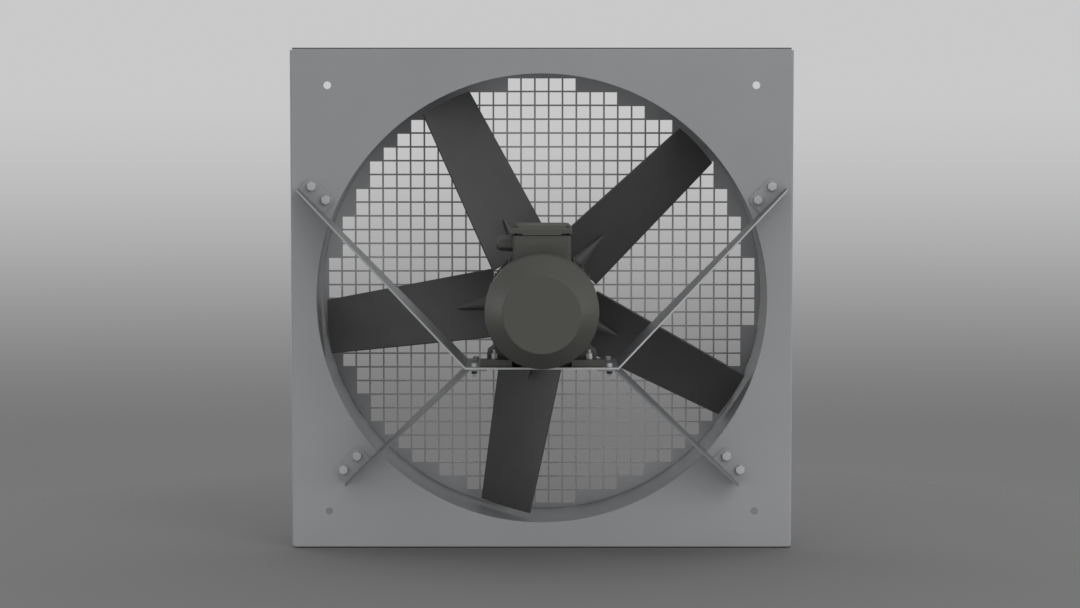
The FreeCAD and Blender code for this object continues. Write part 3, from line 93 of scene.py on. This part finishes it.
def surface(name, fixed):
    """A new material: its tree, its shader with the values that are the same all over, its coordinates."""
    material = bpy.data.materials.new(name)
    material.use_nodes = True
    tree = material.node_tree
    tree.nodes.clear()
    shader = add(tree, "ShaderNodeBsdfPrincipled", fixed)
    add(tree, "ShaderNodeOutputMaterial", {"Surface": shader.outputs["BSDF"]})
    return material, tree, shader, add(tree, "ShaderNodeTexCoord")


def finish(tree, shader, colour, roughness, normal):
    for socket, source in (("Base Color", colour), ("Roughness", roughness), ("Normal", normal)):
        tree.links.new(source, shader.inputs[socket])


def per_metre(size_mm):
    """The scale of a pattern whose repeats are size_mm apart."""
    return 1 / (size_mm * MM)


def cut_edges(tree, coords):
    """1 on the edges of the bracket's sheet that face the front, in front of the arms' feet."""
    facing = add(tree, "ShaderNodeSeparateXYZ", {"Vector": coords.outputs["Normal"]})
    spot = add(tree, "ShaderNodeSeparateXYZ", {"Vector": coords.outputs["Object"]})
    front = add(tree, "ShaderNodeMath", {0: facing.outputs["Y"], 1: FACES_FRONT}, operation="LESS_THAN")
    clear = add(tree, "ShaderNodeMath", {0: spot.outputs["Y"], 1: -EDGES_START * MM}, operation="LESS_THAN")
    both = add(tree, "ShaderNodeMath", {0: front.outputs[0], 1: clear.outputs[0]}, operation="MULTIPLY")
    return both.outputs[0]


def off_the_plate(tree, coords):
    """1 on an arm in front of its foot, where a darker grey is painted shade for the shade on the arm's faces
    and edges.
    """
    spot = add(tree, "ShaderNodeSeparateXYZ", {"Vector": coords.outputs["Object"]})
    clear = add(tree, "ShaderNodeMath", {0: spot.outputs["Y"], 1: -ARMS_START * MM}, operation="LESS_THAN")
    return clear.outputs[0]


def folds(tree, coords):
    """1 on the start of the folds along the top and the bottom of the plate, where a dark grey is painted
    shade for the shade on the bends.
    """
    spot = add(tree, "ShaderNodeSeparateXYZ", {"Vector": coords.outputs["Object"]})
    height = add(tree, "ShaderNodeMath", {0: spot.outputs["Z"]}, operation="ABSOLUTE")
    outside = add(tree, "ShaderNodeMath", {0: height.outputs[0], 1: cad_box[1][2] - FOLD_WIDTH * MM},
                  operation="GREATER_THAN")
    near = add(tree, "ShaderNodeMath", {0: spot.outputs["Y"], 1: FOLD_DEPTH * MM}, operation="LESS_THAN")
    both = add(tree, "ShaderNodeMath", {0: outside.outputs[0], 1: near.outputs[0]}, operation="MULTIPLY")
    return both.outputs[0]


def powder_coat(name, dark, light, rough, *colour_marks):
    # Baked powder coat on sheet steel: an even satin grey, a faint cloudiness over a hand's width,
    # and an orange peel of about 2 mm that breaks up the highlights. Each mark has a mask and a colour:
    # a darker grey that is painted shade on the plate's folds and on the arms' faces and edges, and a
    # paler grey on the bracket's edges that face the front.
    material, tree, shader, coords = surface(name, {"IOR": 1.5})
    spot = coords.outputs["Object"]
    cloud = add(tree, "ShaderNodeTexNoise", {"Vector": spot, "Scale": per_metre(140), "Detail": 2.0})
    colour = add(tree, "ShaderNodeMix",
                 {"Factor": cloud.outputs["Fac"], 6: linear(dark), 7: linear(light)}, data_type="RGBA")
    for mask, mark_colour in colour_marks:
        colour = add(tree, "ShaderNodeMix",
                     {"Factor": mask(tree, coords), 6: colour.outputs[2], 7: linear(mark_colour)},
                     data_type="RGBA")
    wiped = add(tree, "ShaderNodeTexNoise", {"Vector": spot, "Scale": per_metre(35), "Detail": 2.0})
    roughness = add(tree, "ShaderNodeMapRange",
                    {"Value": wiped.outputs["Fac"], "To Min": rough - 0.03, "To Max": rough + 0.03})
    peel = add(tree, "ShaderNodeTexNoise", {"Vector": spot, "Scale": per_metre(2), "Detail": 2.0})
    bump = add(tree, "ShaderNodeBump",
               {"Height": peel.outputs["Fac"], "Strength": 0.06, "Distance": 0.1 * MM})
    finish(tree, shader, colour.outputs[2], roughness.outputs["Result"], bump.outputs["Normal"])
    return material


def cast_enamel(name, dark, light):
    # Brushed-on machine enamel over sand-cast metal: dark olive grey, half dull, with the casting's
    # grain still showing through the paint. The grain is drawn at 3 mm, coarser than real sand, so
    # that it shows.
    material, tree, shader, coords = surface(name, {"IOR": 1.5})
    spot = coords.outputs["Object"]
    cloud = add(tree, "ShaderNodeTexNoise", {"Vector": spot, "Scale": per_metre(45), "Detail": 3.0})
    colour = add(tree, "ShaderNodeMix",
                 {"Factor": cloud.outputs["Fac"], 6: linear(dark), 7: linear(light)}, data_type="RGBA")
    roughness = add(tree, "ShaderNodeMapRange",
                    {"Value": cloud.outputs["Fac"], "To Min": 0.5, "To Max": 0.62})
    cast = add(tree, "ShaderNodeTexNoise", {"Vector": spot, "Scale": per_metre(3), "Detail": 3.0})
    bump = add(tree, "ShaderNodeBump",
               {"Height": cast.outputs["Fac"], "Strength": 0.18, "Distance": 0.2 * MM})
    finish(tree, shader, colour.outputs[2], roughness.outputs["Result"], bump.outputs["Normal"])
    return material


def moulded_plastic(name, dark, light, rough):
    # Moulded plastic or rubber: dark, with the flow of the melt as paler clouds of about 3 cm and the
    # mould's spark-eroded texture, which is drawn at about 1 mm, coarser than the real one, so that
    # it shows.
    material, tree, shader, coords = surface(name, {"IOR": 1.46})
    spot = coords.outputs["Object"]
    flow = add(tree, "ShaderNodeTexNoise", {"Vector": spot, "Scale": per_metre(28), "Detail": 5.0})
    colour = add(tree, "ShaderNodeMix",
                 {"Factor": flow.outputs["Fac"], 6: linear(dark), 7: linear(light)}, data_type="RGBA")
    roughness = add(tree, "ShaderNodeMapRange",
                    {"Value": flow.outputs["Fac"], "To Min": rough - 0.06, "To Max": rough + 0.06})
    eroded = add(tree, "ShaderNodeTexNoise", {"Vector": spot, "Scale": per_metre(1.2), "Detail": 2.0})
    bump = add(tree, "ShaderNodeBump",
               {"Height": eroded.outputs["Fac"], "Strength": 0.15, "Distance": 0.08 * MM})
    finish(tree, shader, colour.outputs[2], roughness.outputs["Result"], bump.outputs["Normal"])
    return material


def bare_metal(name, dark, light, rough, size_mm, metallic=1.0):
    # Plated, ground or cast metal left bare: the tone and the gloss change together, in spots that
    # are drawn coarser than the real marks of the plating, the grinding or the casting, so that they
    # show. Dull plating is less metallic.
    material, tree, shader, coords = surface(name, {"Metallic": metallic})
    spot = coords.outputs["Object"]
    spots = add(tree, "ShaderNodeTexNoise", {"Vector": spot, "Scale": per_metre(size_mm), "Detail": 4.0})
    colour = add(tree, "ShaderNodeMix",
                 {"Factor": spots.outputs["Fac"], 6: linear(dark), 7: linear(light)}, data_type="RGBA")
    roughness = add(tree, "ShaderNodeMapRange",
                    {"Value": spots.outputs["Fac"], "To Min": rough - 0.08, "To Max": rough + 0.08})
    fine = add(tree, "ShaderNodeTexNoise",
               {"Vector": spot, "Scale": per_metre(size_mm / 4), "Detail": 2.0})
    bump = add(tree, "ShaderNodeBump",
               {"Height": fine.outputs["Fac"], "Strength": 0.1, "Distance": 0.05 * MM})
    finish(tree, shader, colour.outputs[2], roughness.outputs["Result"], bump.outputs["Normal"])
    return material


FINISHES = {
    "guard_steel": powder_coat("pale_grey_powder_coat", "#949597", "#9e9fa1", 0.5),
    "motor_paint": cast_enamel("olive_machine_enamel", "#3c3d38", "#43443f"),
    "blade_plastic": moulded_plastic("charcoal_glass_filled_nylon", "#444445", "#4d4d4e", 0.5),
    "gland_plastic": moulded_plastic("black_nylon", "#444443", "#4c4c4b", 0.5),
    "seal_rubber": moulded_plastic("black_rubber", "#202020", "#282828", 0.7),
    "zinc_steel": bare_metal("passivated_zinc_plate", "#a4a5a5", "#b4b5b5", 0.55, 4, metallic=0.2),
    "bearing_steel": bare_metal("ground_steel", "#a6a6a8", "#bcbcbe", 0.25, 2),
    "hub_aluminium": bare_metal("die_cast_aluminium", "#8f9092", "#a5a6a8", 0.45, 5),
    "core_steel": bare_metal("electrical_steel", "#4e4e50", "#5c5c5e", 0.5, 2),
    "copper": bare_metal("varnished_copper", "#9a5a34", "#b87346", 0.35, 2),
    "terminal_brass": bare_metal("turned_brass", "#a88a4a", "#c2a25c", 0.3, 3),
}
COAT = ("#858688", "#8e8f91")
# The lower arms: the darker grey in front of their feet is painted shade
ARM_COAT_WITH_SHADE = powder_coat("grey_powder_coat_painted_shade_on_arms", *COAT, 0.5, (off_the_plate, "#67686a"))
# Lid screws and shelf nuts: a near-black steel that is painted shade, for the shade under the lid's corners
# and under the shelf
STEEL_DARK_AS_SHADE = bare_metal("steel_darkened_as_painted_shade", "#363636", "#404040", 0.5, 3)
OWN_FINISH = {
    # The plate: the dark grey on its top and bottom folds is painted shade, for the shade on the bends
    "wall_plate": powder_coat("grey_powder_coat_painted_shade_on_folds", *COAT, 0.45, (folds, "#37383a")),
    # The motor cradle: the darker grey on its arms in front of their feet is painted shade; its edges that
    # face the front are a paler grey
    "motor_cradle": powder_coat("grey_powder_coat_painted_shade_pale_edges", *COAT, 0.45,
                                (off_the_plate, "#66676a"), (cut_edges, "#9d9e9f")),
    "lower_arm_left": ARM_COAT_WITH_SHADE,
    "lower_arm_right": ARM_COAT_WITH_SHADE,
    # The duct: its coat is drawn darker than the plate's, as painted shade inside the opening
    "duct_ring": powder_coat("grey_matt_powder_coat_painted_shade", "#727375", "#7a7b7d", 0.6),
    "terminal_lid_screws": STEEL_DARK_AS_SHADE,
    "shelf_nuts": STEEL_DARK_AS_SHADE,
}
SLOT_OF = {part["node"]: part["material_slot"] for part in frame["record"]["subparts"]}
BODY_OF = {node: body for body, held in frame["record"]["behaviour"]["bodies"].items() for node in held}


def look(node, slot):
    """The finish of a node: its own, or else that of its slot."""
    return OWN_FINISH[node] if node in OWN_FINISH else FINISHES[slot]


for node, piece in nodes.items():
    piece.data.materials.clear()
    piece.data.materials.append(look(node, SLOT_OF[node]))


# Shapes, drawn in millimetres: the axis is Z, and a head or a nut sits on Z = 0
PITCHES = {4: 0.7, 5: 0.8, 8: 1.25}  # of the coarse metric threads
THREAD_DEPTH = 0.54  # of the pitch
NUT_GAP = 0.15  # between a nut and its bolt
CORNERS = 0.62  # of a hexagon's width: a radius just outside its corners
ROUND_FACE = 0.475  # of a hexagon's width: the radius of the face inside its chamfer
OVER = 1  # how far a cutting tool reaches past what it cuts
FINE_STEPS = 192  # round a large barrel
THREAD_STEPS = 20  # round a thread


def spun(profile, steps=32):
    """A closed shape turned about Z from a line of (radius, height) that starts and ends on the axis."""
    bm = bmesh.new()
    line = [bm.verts.new((radius, 0, height)) for radius, height in profile]
    edges = [bm.edges.new(pair) for pair in zip(line, line[1:])]
    bmesh.ops.spin(bm, geom=line + edges, cent=(0, 0, 0), axis=(0, 0, 1), angle=math.tau, steps=steps,
                   use_merge=True)
    bmesh.ops.remove_doubles(bm, verts=bm.verts, dist=1e-4)
    bmesh.ops.recalc_face_normals(bm, faces=bm.faces)
    return bm


def round_bar(radius, bottom, top, steps=32):
    return spun([(0, bottom), (radius, bottom), (radius, top), (0, top)], steps)


def hexagon_bar(across, bottom, top):
    bm = bmesh.new()
    corner = across / 2 / math.cos(math.pi / 6)
    bmesh.ops.create_cone(bm, cap_ends=True, segments=6, radius1=corner, radius2=corner, depth=top - bottom)
    bmesh.ops.translate(bm, vec=(0, 0, (top + bottom) / 2), verts=bm.verts)
    return bm


def bar(width, depth, bottom, top):
    bm = bmesh.new()
    bmesh.ops.create_cube(bm, size=1)
    bmesh.ops.scale(bm, vec=(width, depth, top - bottom), verts=bm.verts)
    bmesh.ops.translate(bm, vec=(0, 0, (top + bottom) / 2), verts=bm.verts)
    return bm


def carved(shape, tool, operation):
    """What is left of a shape inside a tool (INTERSECT) or outside it (DIFFERENCE)."""
    pair = []
    for bm in (shape, tool):
        mesh = bpy.data.meshes.new("carving")
        bm.to_mesh(mesh)
        bm.free()
        pair.append(bpy.data.objects.new("carving", mesh))
        bpy.context.scene.collection.objects.link(pair[-1])
    cut = pair[0].modifiers.new("cut", "BOOLEAN")
    cut.object = pair[1]
    cut.operation = operation
    cut.solver = "EXACT"
    mesh = bpy.data.meshes.new_from_object(pair[0].evaluated_get(bpy.context.evaluated_depsgraph_get()))
    bm = bmesh.new()
    bm.from_mesh(mesh)
    bpy.data.meshes.remove(mesh)
    for piece in pair:
        bpy.data.meshes.remove(piece.data)
    return bm


def joined(*shapes):
    mesh = bpy.data.meshes.new("joining")
    both = bmesh.new()
    for bm in shapes:
        bm.to_mesh(mesh)
        bm.free()
        both.from_mesh(mesh)
    bpy.data.meshes.remove(mesh)
    return both


def turned_off(across, height, both_ends):
    """The cone that takes a hexagon's corners off at 30 degrees, down to a round face."""
    face = ROUND_FACE * across
    corner = CORNERS * across
    fall = (corner - face) * math.tan(math.pi / 6)
    start = [(0, 0), (face, 0), (corner, fall)] if both_ends else [(0, -OVER), (corner, -OVER)]
    return spun([*start, (corner, height - fall), (face, height), (0, height)])


def thread(size, bottom, top):
    """A threaded shank; its turns are rings a pitch apart, with a chamfered end."""
    pitch = PITCHES[size]
    depth = THREAD_DEPTH * pitch
    root = size / 2 - depth
    half_turns = int((top - bottom) / pitch * 2) - 1
    ridge = [(size / 2 - (step % 2) * depth, bottom + depth + step * pitch / 2) for step in range(half_turns)]
    return spun([(0, bottom), (root, bottom), *ridge, (root, top), (0, top)], THREAD_STEPS)


def hexagon_head(across, height):
    return carved(hexagon_bar(across, 0, height), turned_off(across, height, False), "INTERSECT")


def socket_head(across, height):
    rim = across / 2
    edge = 0.06 * across
    head = spun([(0, 0), (rim, 0), (rim, height - edge), (rim - edge, height), (0, height)])
    return carved(head, hexagon_bar(across / 2, height / 2, height + OVER), "DIFFERENCE")


def cross_head(across, height):
    rim = across / 2
    head = spun([(0, 0), (rim, 0), (rim, 0.35 * height), (0.95 * rim, 0.65 * height),
                 (0.8 * rim, 0.88 * height), (0.5 * rim, height), (0, height)])
    for width, depth in ((0.62, 0.13), (0.13, 0.62)):
        slot = bar(width * across, depth * across, 0.35 * height, height + OVER)
        head = carved(head, slot, "DIFFERENCE")
    return head


def nut(across, height, size):
    shape = carved(hexagon_bar(across, 0, height), turned_off(across, height, True), "INTERSECT")
    hole = size / 2 + NUT_GAP
    sink = 0.5
    mouth = hole + sink + OVER
    bore = spun([(0, -OVER), (mouth, -OVER), (hole, sink), (hole, height - sink), (mouth, height + OVER),
                 (0, height + OVER)])
    return carved(shape, bore, "DIFFERENCE")


def place(name, pattern, matrices, body, slot, *replaced):
    """Copies of a pattern in one piece, set in the frame."""
    mesh = bpy.data.meshes.new(name)
    pattern.to_mesh(mesh)
    pattern.free()
    bm = bmesh.new()
    for matrix in matrices:
        before = len(bm.verts)
        bm.from_mesh(mesh)
        bm.verts.ensure_lookup_table()
        bmesh.ops.transform(bm, matrix=matrix @ Matrix.Scale(MM, 4), verts=bm.verts[before:])
    bm.to_mesh(mesh)
    bm.free()
    mesh.materials.append(look(replaced[0] if replaced else None, slot))
    piece = bpy.data.objects.new(name, mesh)
    bpy.context.scene.collection.objects.link(piece)
    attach(piece, body)
    if replaced:
        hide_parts(*replaced)
    return piece


def solid_boxes(node):
    """The lowest and highest corners of each solid of a node."""
    bm = bmesh.new()
    bm.from_mesh(nodes[node].data)
    bmesh.ops.remove_doubles(bm, verts=bm.verts, dist=1e-6)
    boxes = []
    for start in bm.verts:
        if start.tag:
            continue
        start.tag = True
        solid = [start]
        for vert in solid:
            for edge in vert.link_edges:
                other = edge.other_vert(vert)
                if not other.tag:
                    other.tag = True
                    solid.append(other)
        boxes.append([Vector([pick(vert.co[axis] for vert in solid) for axis in range(3)])
                      for pick in (min, max)])
    bm.free()
    return boxes


UP = Vector((0, 0, 1))
DOWN = -UP
BACK = Vector((0, 1, 0))
FORWARD = -BACK
LEFT = Vector((-1, 0, 0))


def standing(box, way, foot):
    """The place of a fastener whose head points along way and sits foot millimetres below its far end."""
    low, high = box
    middle = (low + high) / 2
    size = high - low
    end = middle + way * abs(size.dot(way)) / 2
    across = [axis for axis in range(3) if abs(way[axis]) < 0.5]
    corner = Vector((0, 0, 0))
    corner[max(across, key=lambda axis: size[axis])] = 1
    turn = Matrix((corner.cross(way), corner, way)).transposed().to_4x4()
    return Matrix.Translation(end - way * foot * MM) @ turn


def screws(node, way, head, across, height, size):
    """Screws with a threaded shank in place of the plain ones of a node; across and height are the head's."""
    boxes = solid_boxes(node)
    length = abs((boxes[0][1] - boxes[0][0]).dot(way)) / MM - height
    into_head = 0.5
    pattern = joined(head(across, height), thread(size, -length, into_head))
    matrices = [standing(box, way, height) for box in boxes]
    place(f"{node}.dressed", pattern, matrices, BODY_OF[node], SLOT_OF[node], node)


def nuts(node, way, across, height, size):
    """Chamfered nuts in place of the plain ones of a node."""
    matrices = [standing(box, way, height) for box in solid_boxes(node)]
    place(f"{node}.dressed", nut(across, height, size), matrices, BODY_OF[node], SLOT_OF[node], node)


# Fasteners: the way the head or the nut points, its width and height, and the size of the thread
screws("plate_bolts", FORWARD, hexagon_head, 12, 5.3, 8)
screws("cradle_bolts", UP, socket_head, 8.5, 5, 5)
screws("foot_bolts", DOWN, hexagon_head, 8, 3.5, 5)
screws("guard_screws", BACK, cross_head, 9.5, 3.2, 5)
screws("terminal_lid_screws", UP, cross_head, 7, 2.6, 4)
screws("hub_clamp_screws", BACK, hexagon_head, 13, 5.3, 8)
screws("hub_bolt", BACK, hexagon_head, 13, 5.3, 8)
nuts("plate_nuts", BACK, 12, 6.5, 8)
nuts("shelf_nuts", DOWN, 8, 4, 5)
nuts("foot_nuts", UP, 8, 8, 5)
nuts("guard_nuts", FORWARD, 8, 4, 5)
nuts("hub_clamp_nuts", FORWARD, 13, 6.5, 8)
nuts("tie_nuts", BACK, 8.5, 5, 5)


# Cable gland: the nut is a hexagon with a domed end round the seal
def domed_nut(across, length, opening):
    dome = spun([(0, -OVER), (CORNERS * across, -OVER), (CORNERS * across, 0.5 * length),
                 (0.55 * across, 0.64 * length), (0.49 * across, 0.8 * length),
                 (0.43 * across, 0.94 * length), (0.39 * across, length), (0, length)])
    shape = carved(hexagon_bar(across, 0, length), dome, "INTERSECT")
    return carved(shape, round_bar(opening, -OVER, length + OVER), "DIFFERENCE")


GLAND_ACROSS = 19
GLAND_LENGTH = 14.5
GLAND_OPENING = 6.6
place("gland_nut.dressed", domed_nut(GLAND_ACROSS, GLAND_LENGTH, GLAND_OPENING),
      [standing(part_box("gland_nut"), LEFT, GLAND_LENGTH)], "frame", "gland_plastic", "gland_nut")

FINS = 77.6  # radius just clear of the fins' tips


# Rear cover: its skirt runs on over the ends of the fins, up to the terminal box
def skirt(outside, length):
    outer = round_bar(outside, 0, length, FINE_STEPS)
    return carved(outer, round_bar(FINS, -OVER, length + OVER, FINE_STEPS), "DIFFERENCE")


cover_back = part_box("rear_cover")[1][1]
cover_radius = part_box("rear_cover")[1][0]
box_low, box_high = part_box("terminal_box")
BOX_GAP = 1  # between the skirt and the terminal box
TURNED = Matrix.Rotation(-math.pi / 2, 4, "X")
over_fins = place("rear_cover.skirt", skirt(cover_radius / MM, (box_low.y - cover_back) / MM - BOX_GAP),
                  [Matrix.Translation((0, cover_back, 0)) @ TURNED], "frame", "motor_paint")
over_fins.data.shade_smooth()
over_fins.data.set_sharp_from_angle(angle=math.radians(30))


# Terminal box: its walls run down to the fins, as a saddle
def saddle(width, depth, top):
    wall = 2.5
    corner = 6
    reach = 14
    bottom = top - reach
    block = bar(width, depth, bottom, top)
    upright = [edge for edge in block.edges if abs(edge.verts[0].co.z - edge.verts[1].co.z) > 1]
    bmesh.ops.bevel(block, geom=upright, offset=corner, affect="EDGES", segments=6, profile=0.5, material=-1)
    inside = bar(width - 2 * wall, depth - 2 * wall, bottom - OVER, top + OVER)
    walls = carved(block, inside, "DIFFERENCE")
    barrel = round_bar(FINS, -depth, depth, FINE_STEPS)
    bmesh.ops.rotate(barrel, matrix=Matrix.Rotation(math.pi / 2, 3, "X"), verts=barrel.verts)
    return carved(walls, barrel, "DIFFERENCE")


BOX_WIDTH = 80.5
place("terminal_box.saddle", saddle(BOX_WIDTH, (box_high.y - box_low.y) / MM, box_low.z / MM),
      [Matrix.Translation((0, (box_low.y + box_high.y) / 2, 0))], "frame", "motor_paint")


# Casting ribs across the front of each foot's pad
RIB_DEPTH = 1.2
RIB_HEIGHT = 1.9
RIB_ROUNDING = 0.45
RIB_RISES = (2.2, 5.7)  # of the ribs' undersides over the foot's
RIB_SETBACK = 0.1  # of the ribs' middles behind the front of the pad
RIB_ENDS = 1  # of the pad's length that the ribs leave free


def foot_rib(length):
    bm = bar(length, RIB_DEPTH, 0, RIB_HEIGHT)
    bmesh.ops.bevel(bm, geom=bm.edges, offset=RIB_ROUNDING, affect="EDGES", segments=2, profile=0.5,
                    material=-1)
    return bm


for node in ("motor_foot_left", "motor_foot_right"):
    low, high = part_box(node)
    middle = (low.x + high.x) / 2
    front = low.y + RIB_SETBACK * MM
    ribs = [Matrix.Translation((middle, front, low.z + rise * MM)) for rise in RIB_RISES]
    rib = foot_rib((high.x - low.x) / MM - RIB_ENDS)
    place(f"{node}.ribs", rib, ribs, "frame", "motor_paint")

# Studio: a grey floor that melts into a grey surround, paler upwards, with soft lamps round the object
FLOOR_RADIUS = 1.3
FLOOR_MELTS = (0.7, 1.25)  # from and to this far from the middle
FLOOR_TONE = "#696969"
FLOOR_BOUNCE = "#b4b4b4"  # the tone with which the floor throws light up
HORIZON = (-0.12, -0.01)  # the surround pales between these upward parts of a direction
AIR_LOW = "#777777"
AIR_HIGH = "#c9c9c9"
AIR_GAIN = 1.42  # how much stronger the surround lights the object than it looks


def seen(tree):
    """1 for sight, reflections and what is seen through glass; 0 for the light that falls on things."""
    path = add(tree, "ShaderNodeLightPath")
    share = path.outputs["Is Camera Ray"]
    for way in ("Is Glossy Ray", "Is Transmission Ray"):
        share = add(tree, "ShaderNodeMath", {0: share, 1: path.outputs[way]}, operation="MAXIMUM").outputs[0]
    return share


def lay_floor():
    low = cad_box[0][2]
    bm = bmesh.new()
    bmesh.ops.create_circle(bm, cap_ends=True, segments=96, radius=FLOOR_RADIUS)
    bmesh.ops.translate(bm, vec=(0, 0, low), verts=bm.verts)
    mesh = bpy.data.meshes.new("studio_floor")
    bm.to_mesh(mesh)
    bm.free()
    piece = bpy.data.objects.new("studio_floor", mesh)
    bpy.context.scene.collection.objects.link(piece)
    # Seamless paper, dull; it grows clear towards its rim, so that no edge shows against the surround,
    # and it throws more light up than its tone shows
    paper, tree, shader, coords = surface("studio_paper", {"Roughness": 0.9})
    colour = add(tree, "ShaderNodeMix",
                 {"Factor": seen(tree), 6: linear(FLOOR_BOUNCE), 7: linear(FLOOR_TONE)}, data_type="RGBA")
    tree.links.new(colour.outputs[2], shader.inputs["Base Color"])
    out = add(tree, "ShaderNodeVectorMath", {0: coords.outputs["Object"], 1: (0, 0, low)},
              operation="DISTANCE")
    start, end = FLOOR_MELTS
    rim = add(tree, "ShaderNodeMapRange",
              {"Value": out.outputs["Value"], "From Min": start, "From Max": end},
              interpolation_type="SMOOTHSTEP")
    clear = add(tree, "ShaderNodeBsdfTransparent")
    melt = add(tree, "ShaderNodeMixShader",
               {0: rim.outputs["Result"], 1: shader.outputs["BSDF"], 2: clear.outputs["BSDF"]})
    tree.links.new(melt.outputs["Shader"], tree.nodes["Material Output"].inputs["Surface"])
    mesh.materials.append(paper)


def light_air():
    """The surround: a grey that pales upwards, and lights the object more strongly than it looks."""
    world = bpy.data.worlds.new("studio_air")
    world.use_nodes = True
    air = world.node_tree
    coords = add(air, "ShaderNodeTexCoord")
    towards = add(air, "ShaderNodeSeparateXYZ", {"Vector": coords.outputs["Generated"]})
    start, end = HORIZON
    shade = add(air, "ShaderNodeMapRange",
                {"Value": towards.outputs["Z"], "From Min": start, "From Max": end,
                 "To Min": linear(AIR_LOW)[0], "To Max": linear(AIR_HIGH)[0]},
                interpolation_type="SMOOTHSTEP")
    lit = add(air, "ShaderNodeMath", {0: shade.outputs["Result"], 1: AIR_GAIN}, operation="MULTIPLY")
    strength = add(air, "ShaderNodeMix",
                   {"Factor": seen(air), "A": lit.outputs[0], "B": shade.outputs["Result"]},
                   data_type="FLOAT")
    air.links.new(strength.outputs["Result"], air.nodes["Background"].inputs["Strength"])
    air.nodes["Background"].inputs["Color"].default_value = linear("#ffffff")
    bpy.context.scene.world = world


def lamp(name, spot, width, height, watts):
    """A soft lamp that points at the frame's origin, and that the camera does not see."""
    data = bpy.data.lights.new(name, "AREA")
    data.shape = "RECTANGLE"
    data.size = width
    data.size_y = height
    data.energy = watts
    piece = bpy.data.objects.new(name, data)
    piece.location = spot
    piece.rotation_euler = (-Vector(spot)).to_track_quat("-Z", "Y").to_euler()
    piece.visible_camera = False
    bpy.context.scene.collection.objects.link(piece)


lay_floor()
light_air()
lamp("right_softbox", (3.2, -2.5, 0.9), 3.4, 2.6, 26)
lamp("high_softbox", (2.0, -3.2, 2.4), 2.4, 1.6, 29)
lamp("low_softbox", (0, -1.7, -0.3), 3.2, 0.1, 5)
lamp("back_left_softbox", (-3.2, 2.6, 0.6), 2.4, 1.8, 38)
lamp("back_right_softbox", (3.2, 2.6, 0.6), 2.4, 1.8, 24)
bpy.context.scene.view_settings.view_transform = "Standard"

# Camera: a long lens a little above the axis, looking down slightly; the focal length is in pixels
FOCUS = 3200
PICTURE_WIDTH = 1080
SENSOR_WIDTH = 36
PITCH = math.radians(4.48)
camera_data = bpy.data.cameras.new("camera")
camera_data.sensor_width = SENSOR_WIDTH
camera_data.lens = FOCUS * SENSOR_WIDTH / PICTURE_WIDTH
camera = bpy.data.objects.new("camera", camera_data)
camera.location = (-0.0026, -4.58, 0.352)
camera.rotation_euler = (math.pi / 2 - PITCH, 0, 0)
bpy.context.scene.collection.objects.link(camera)
bpy.context.scene.camera = camera
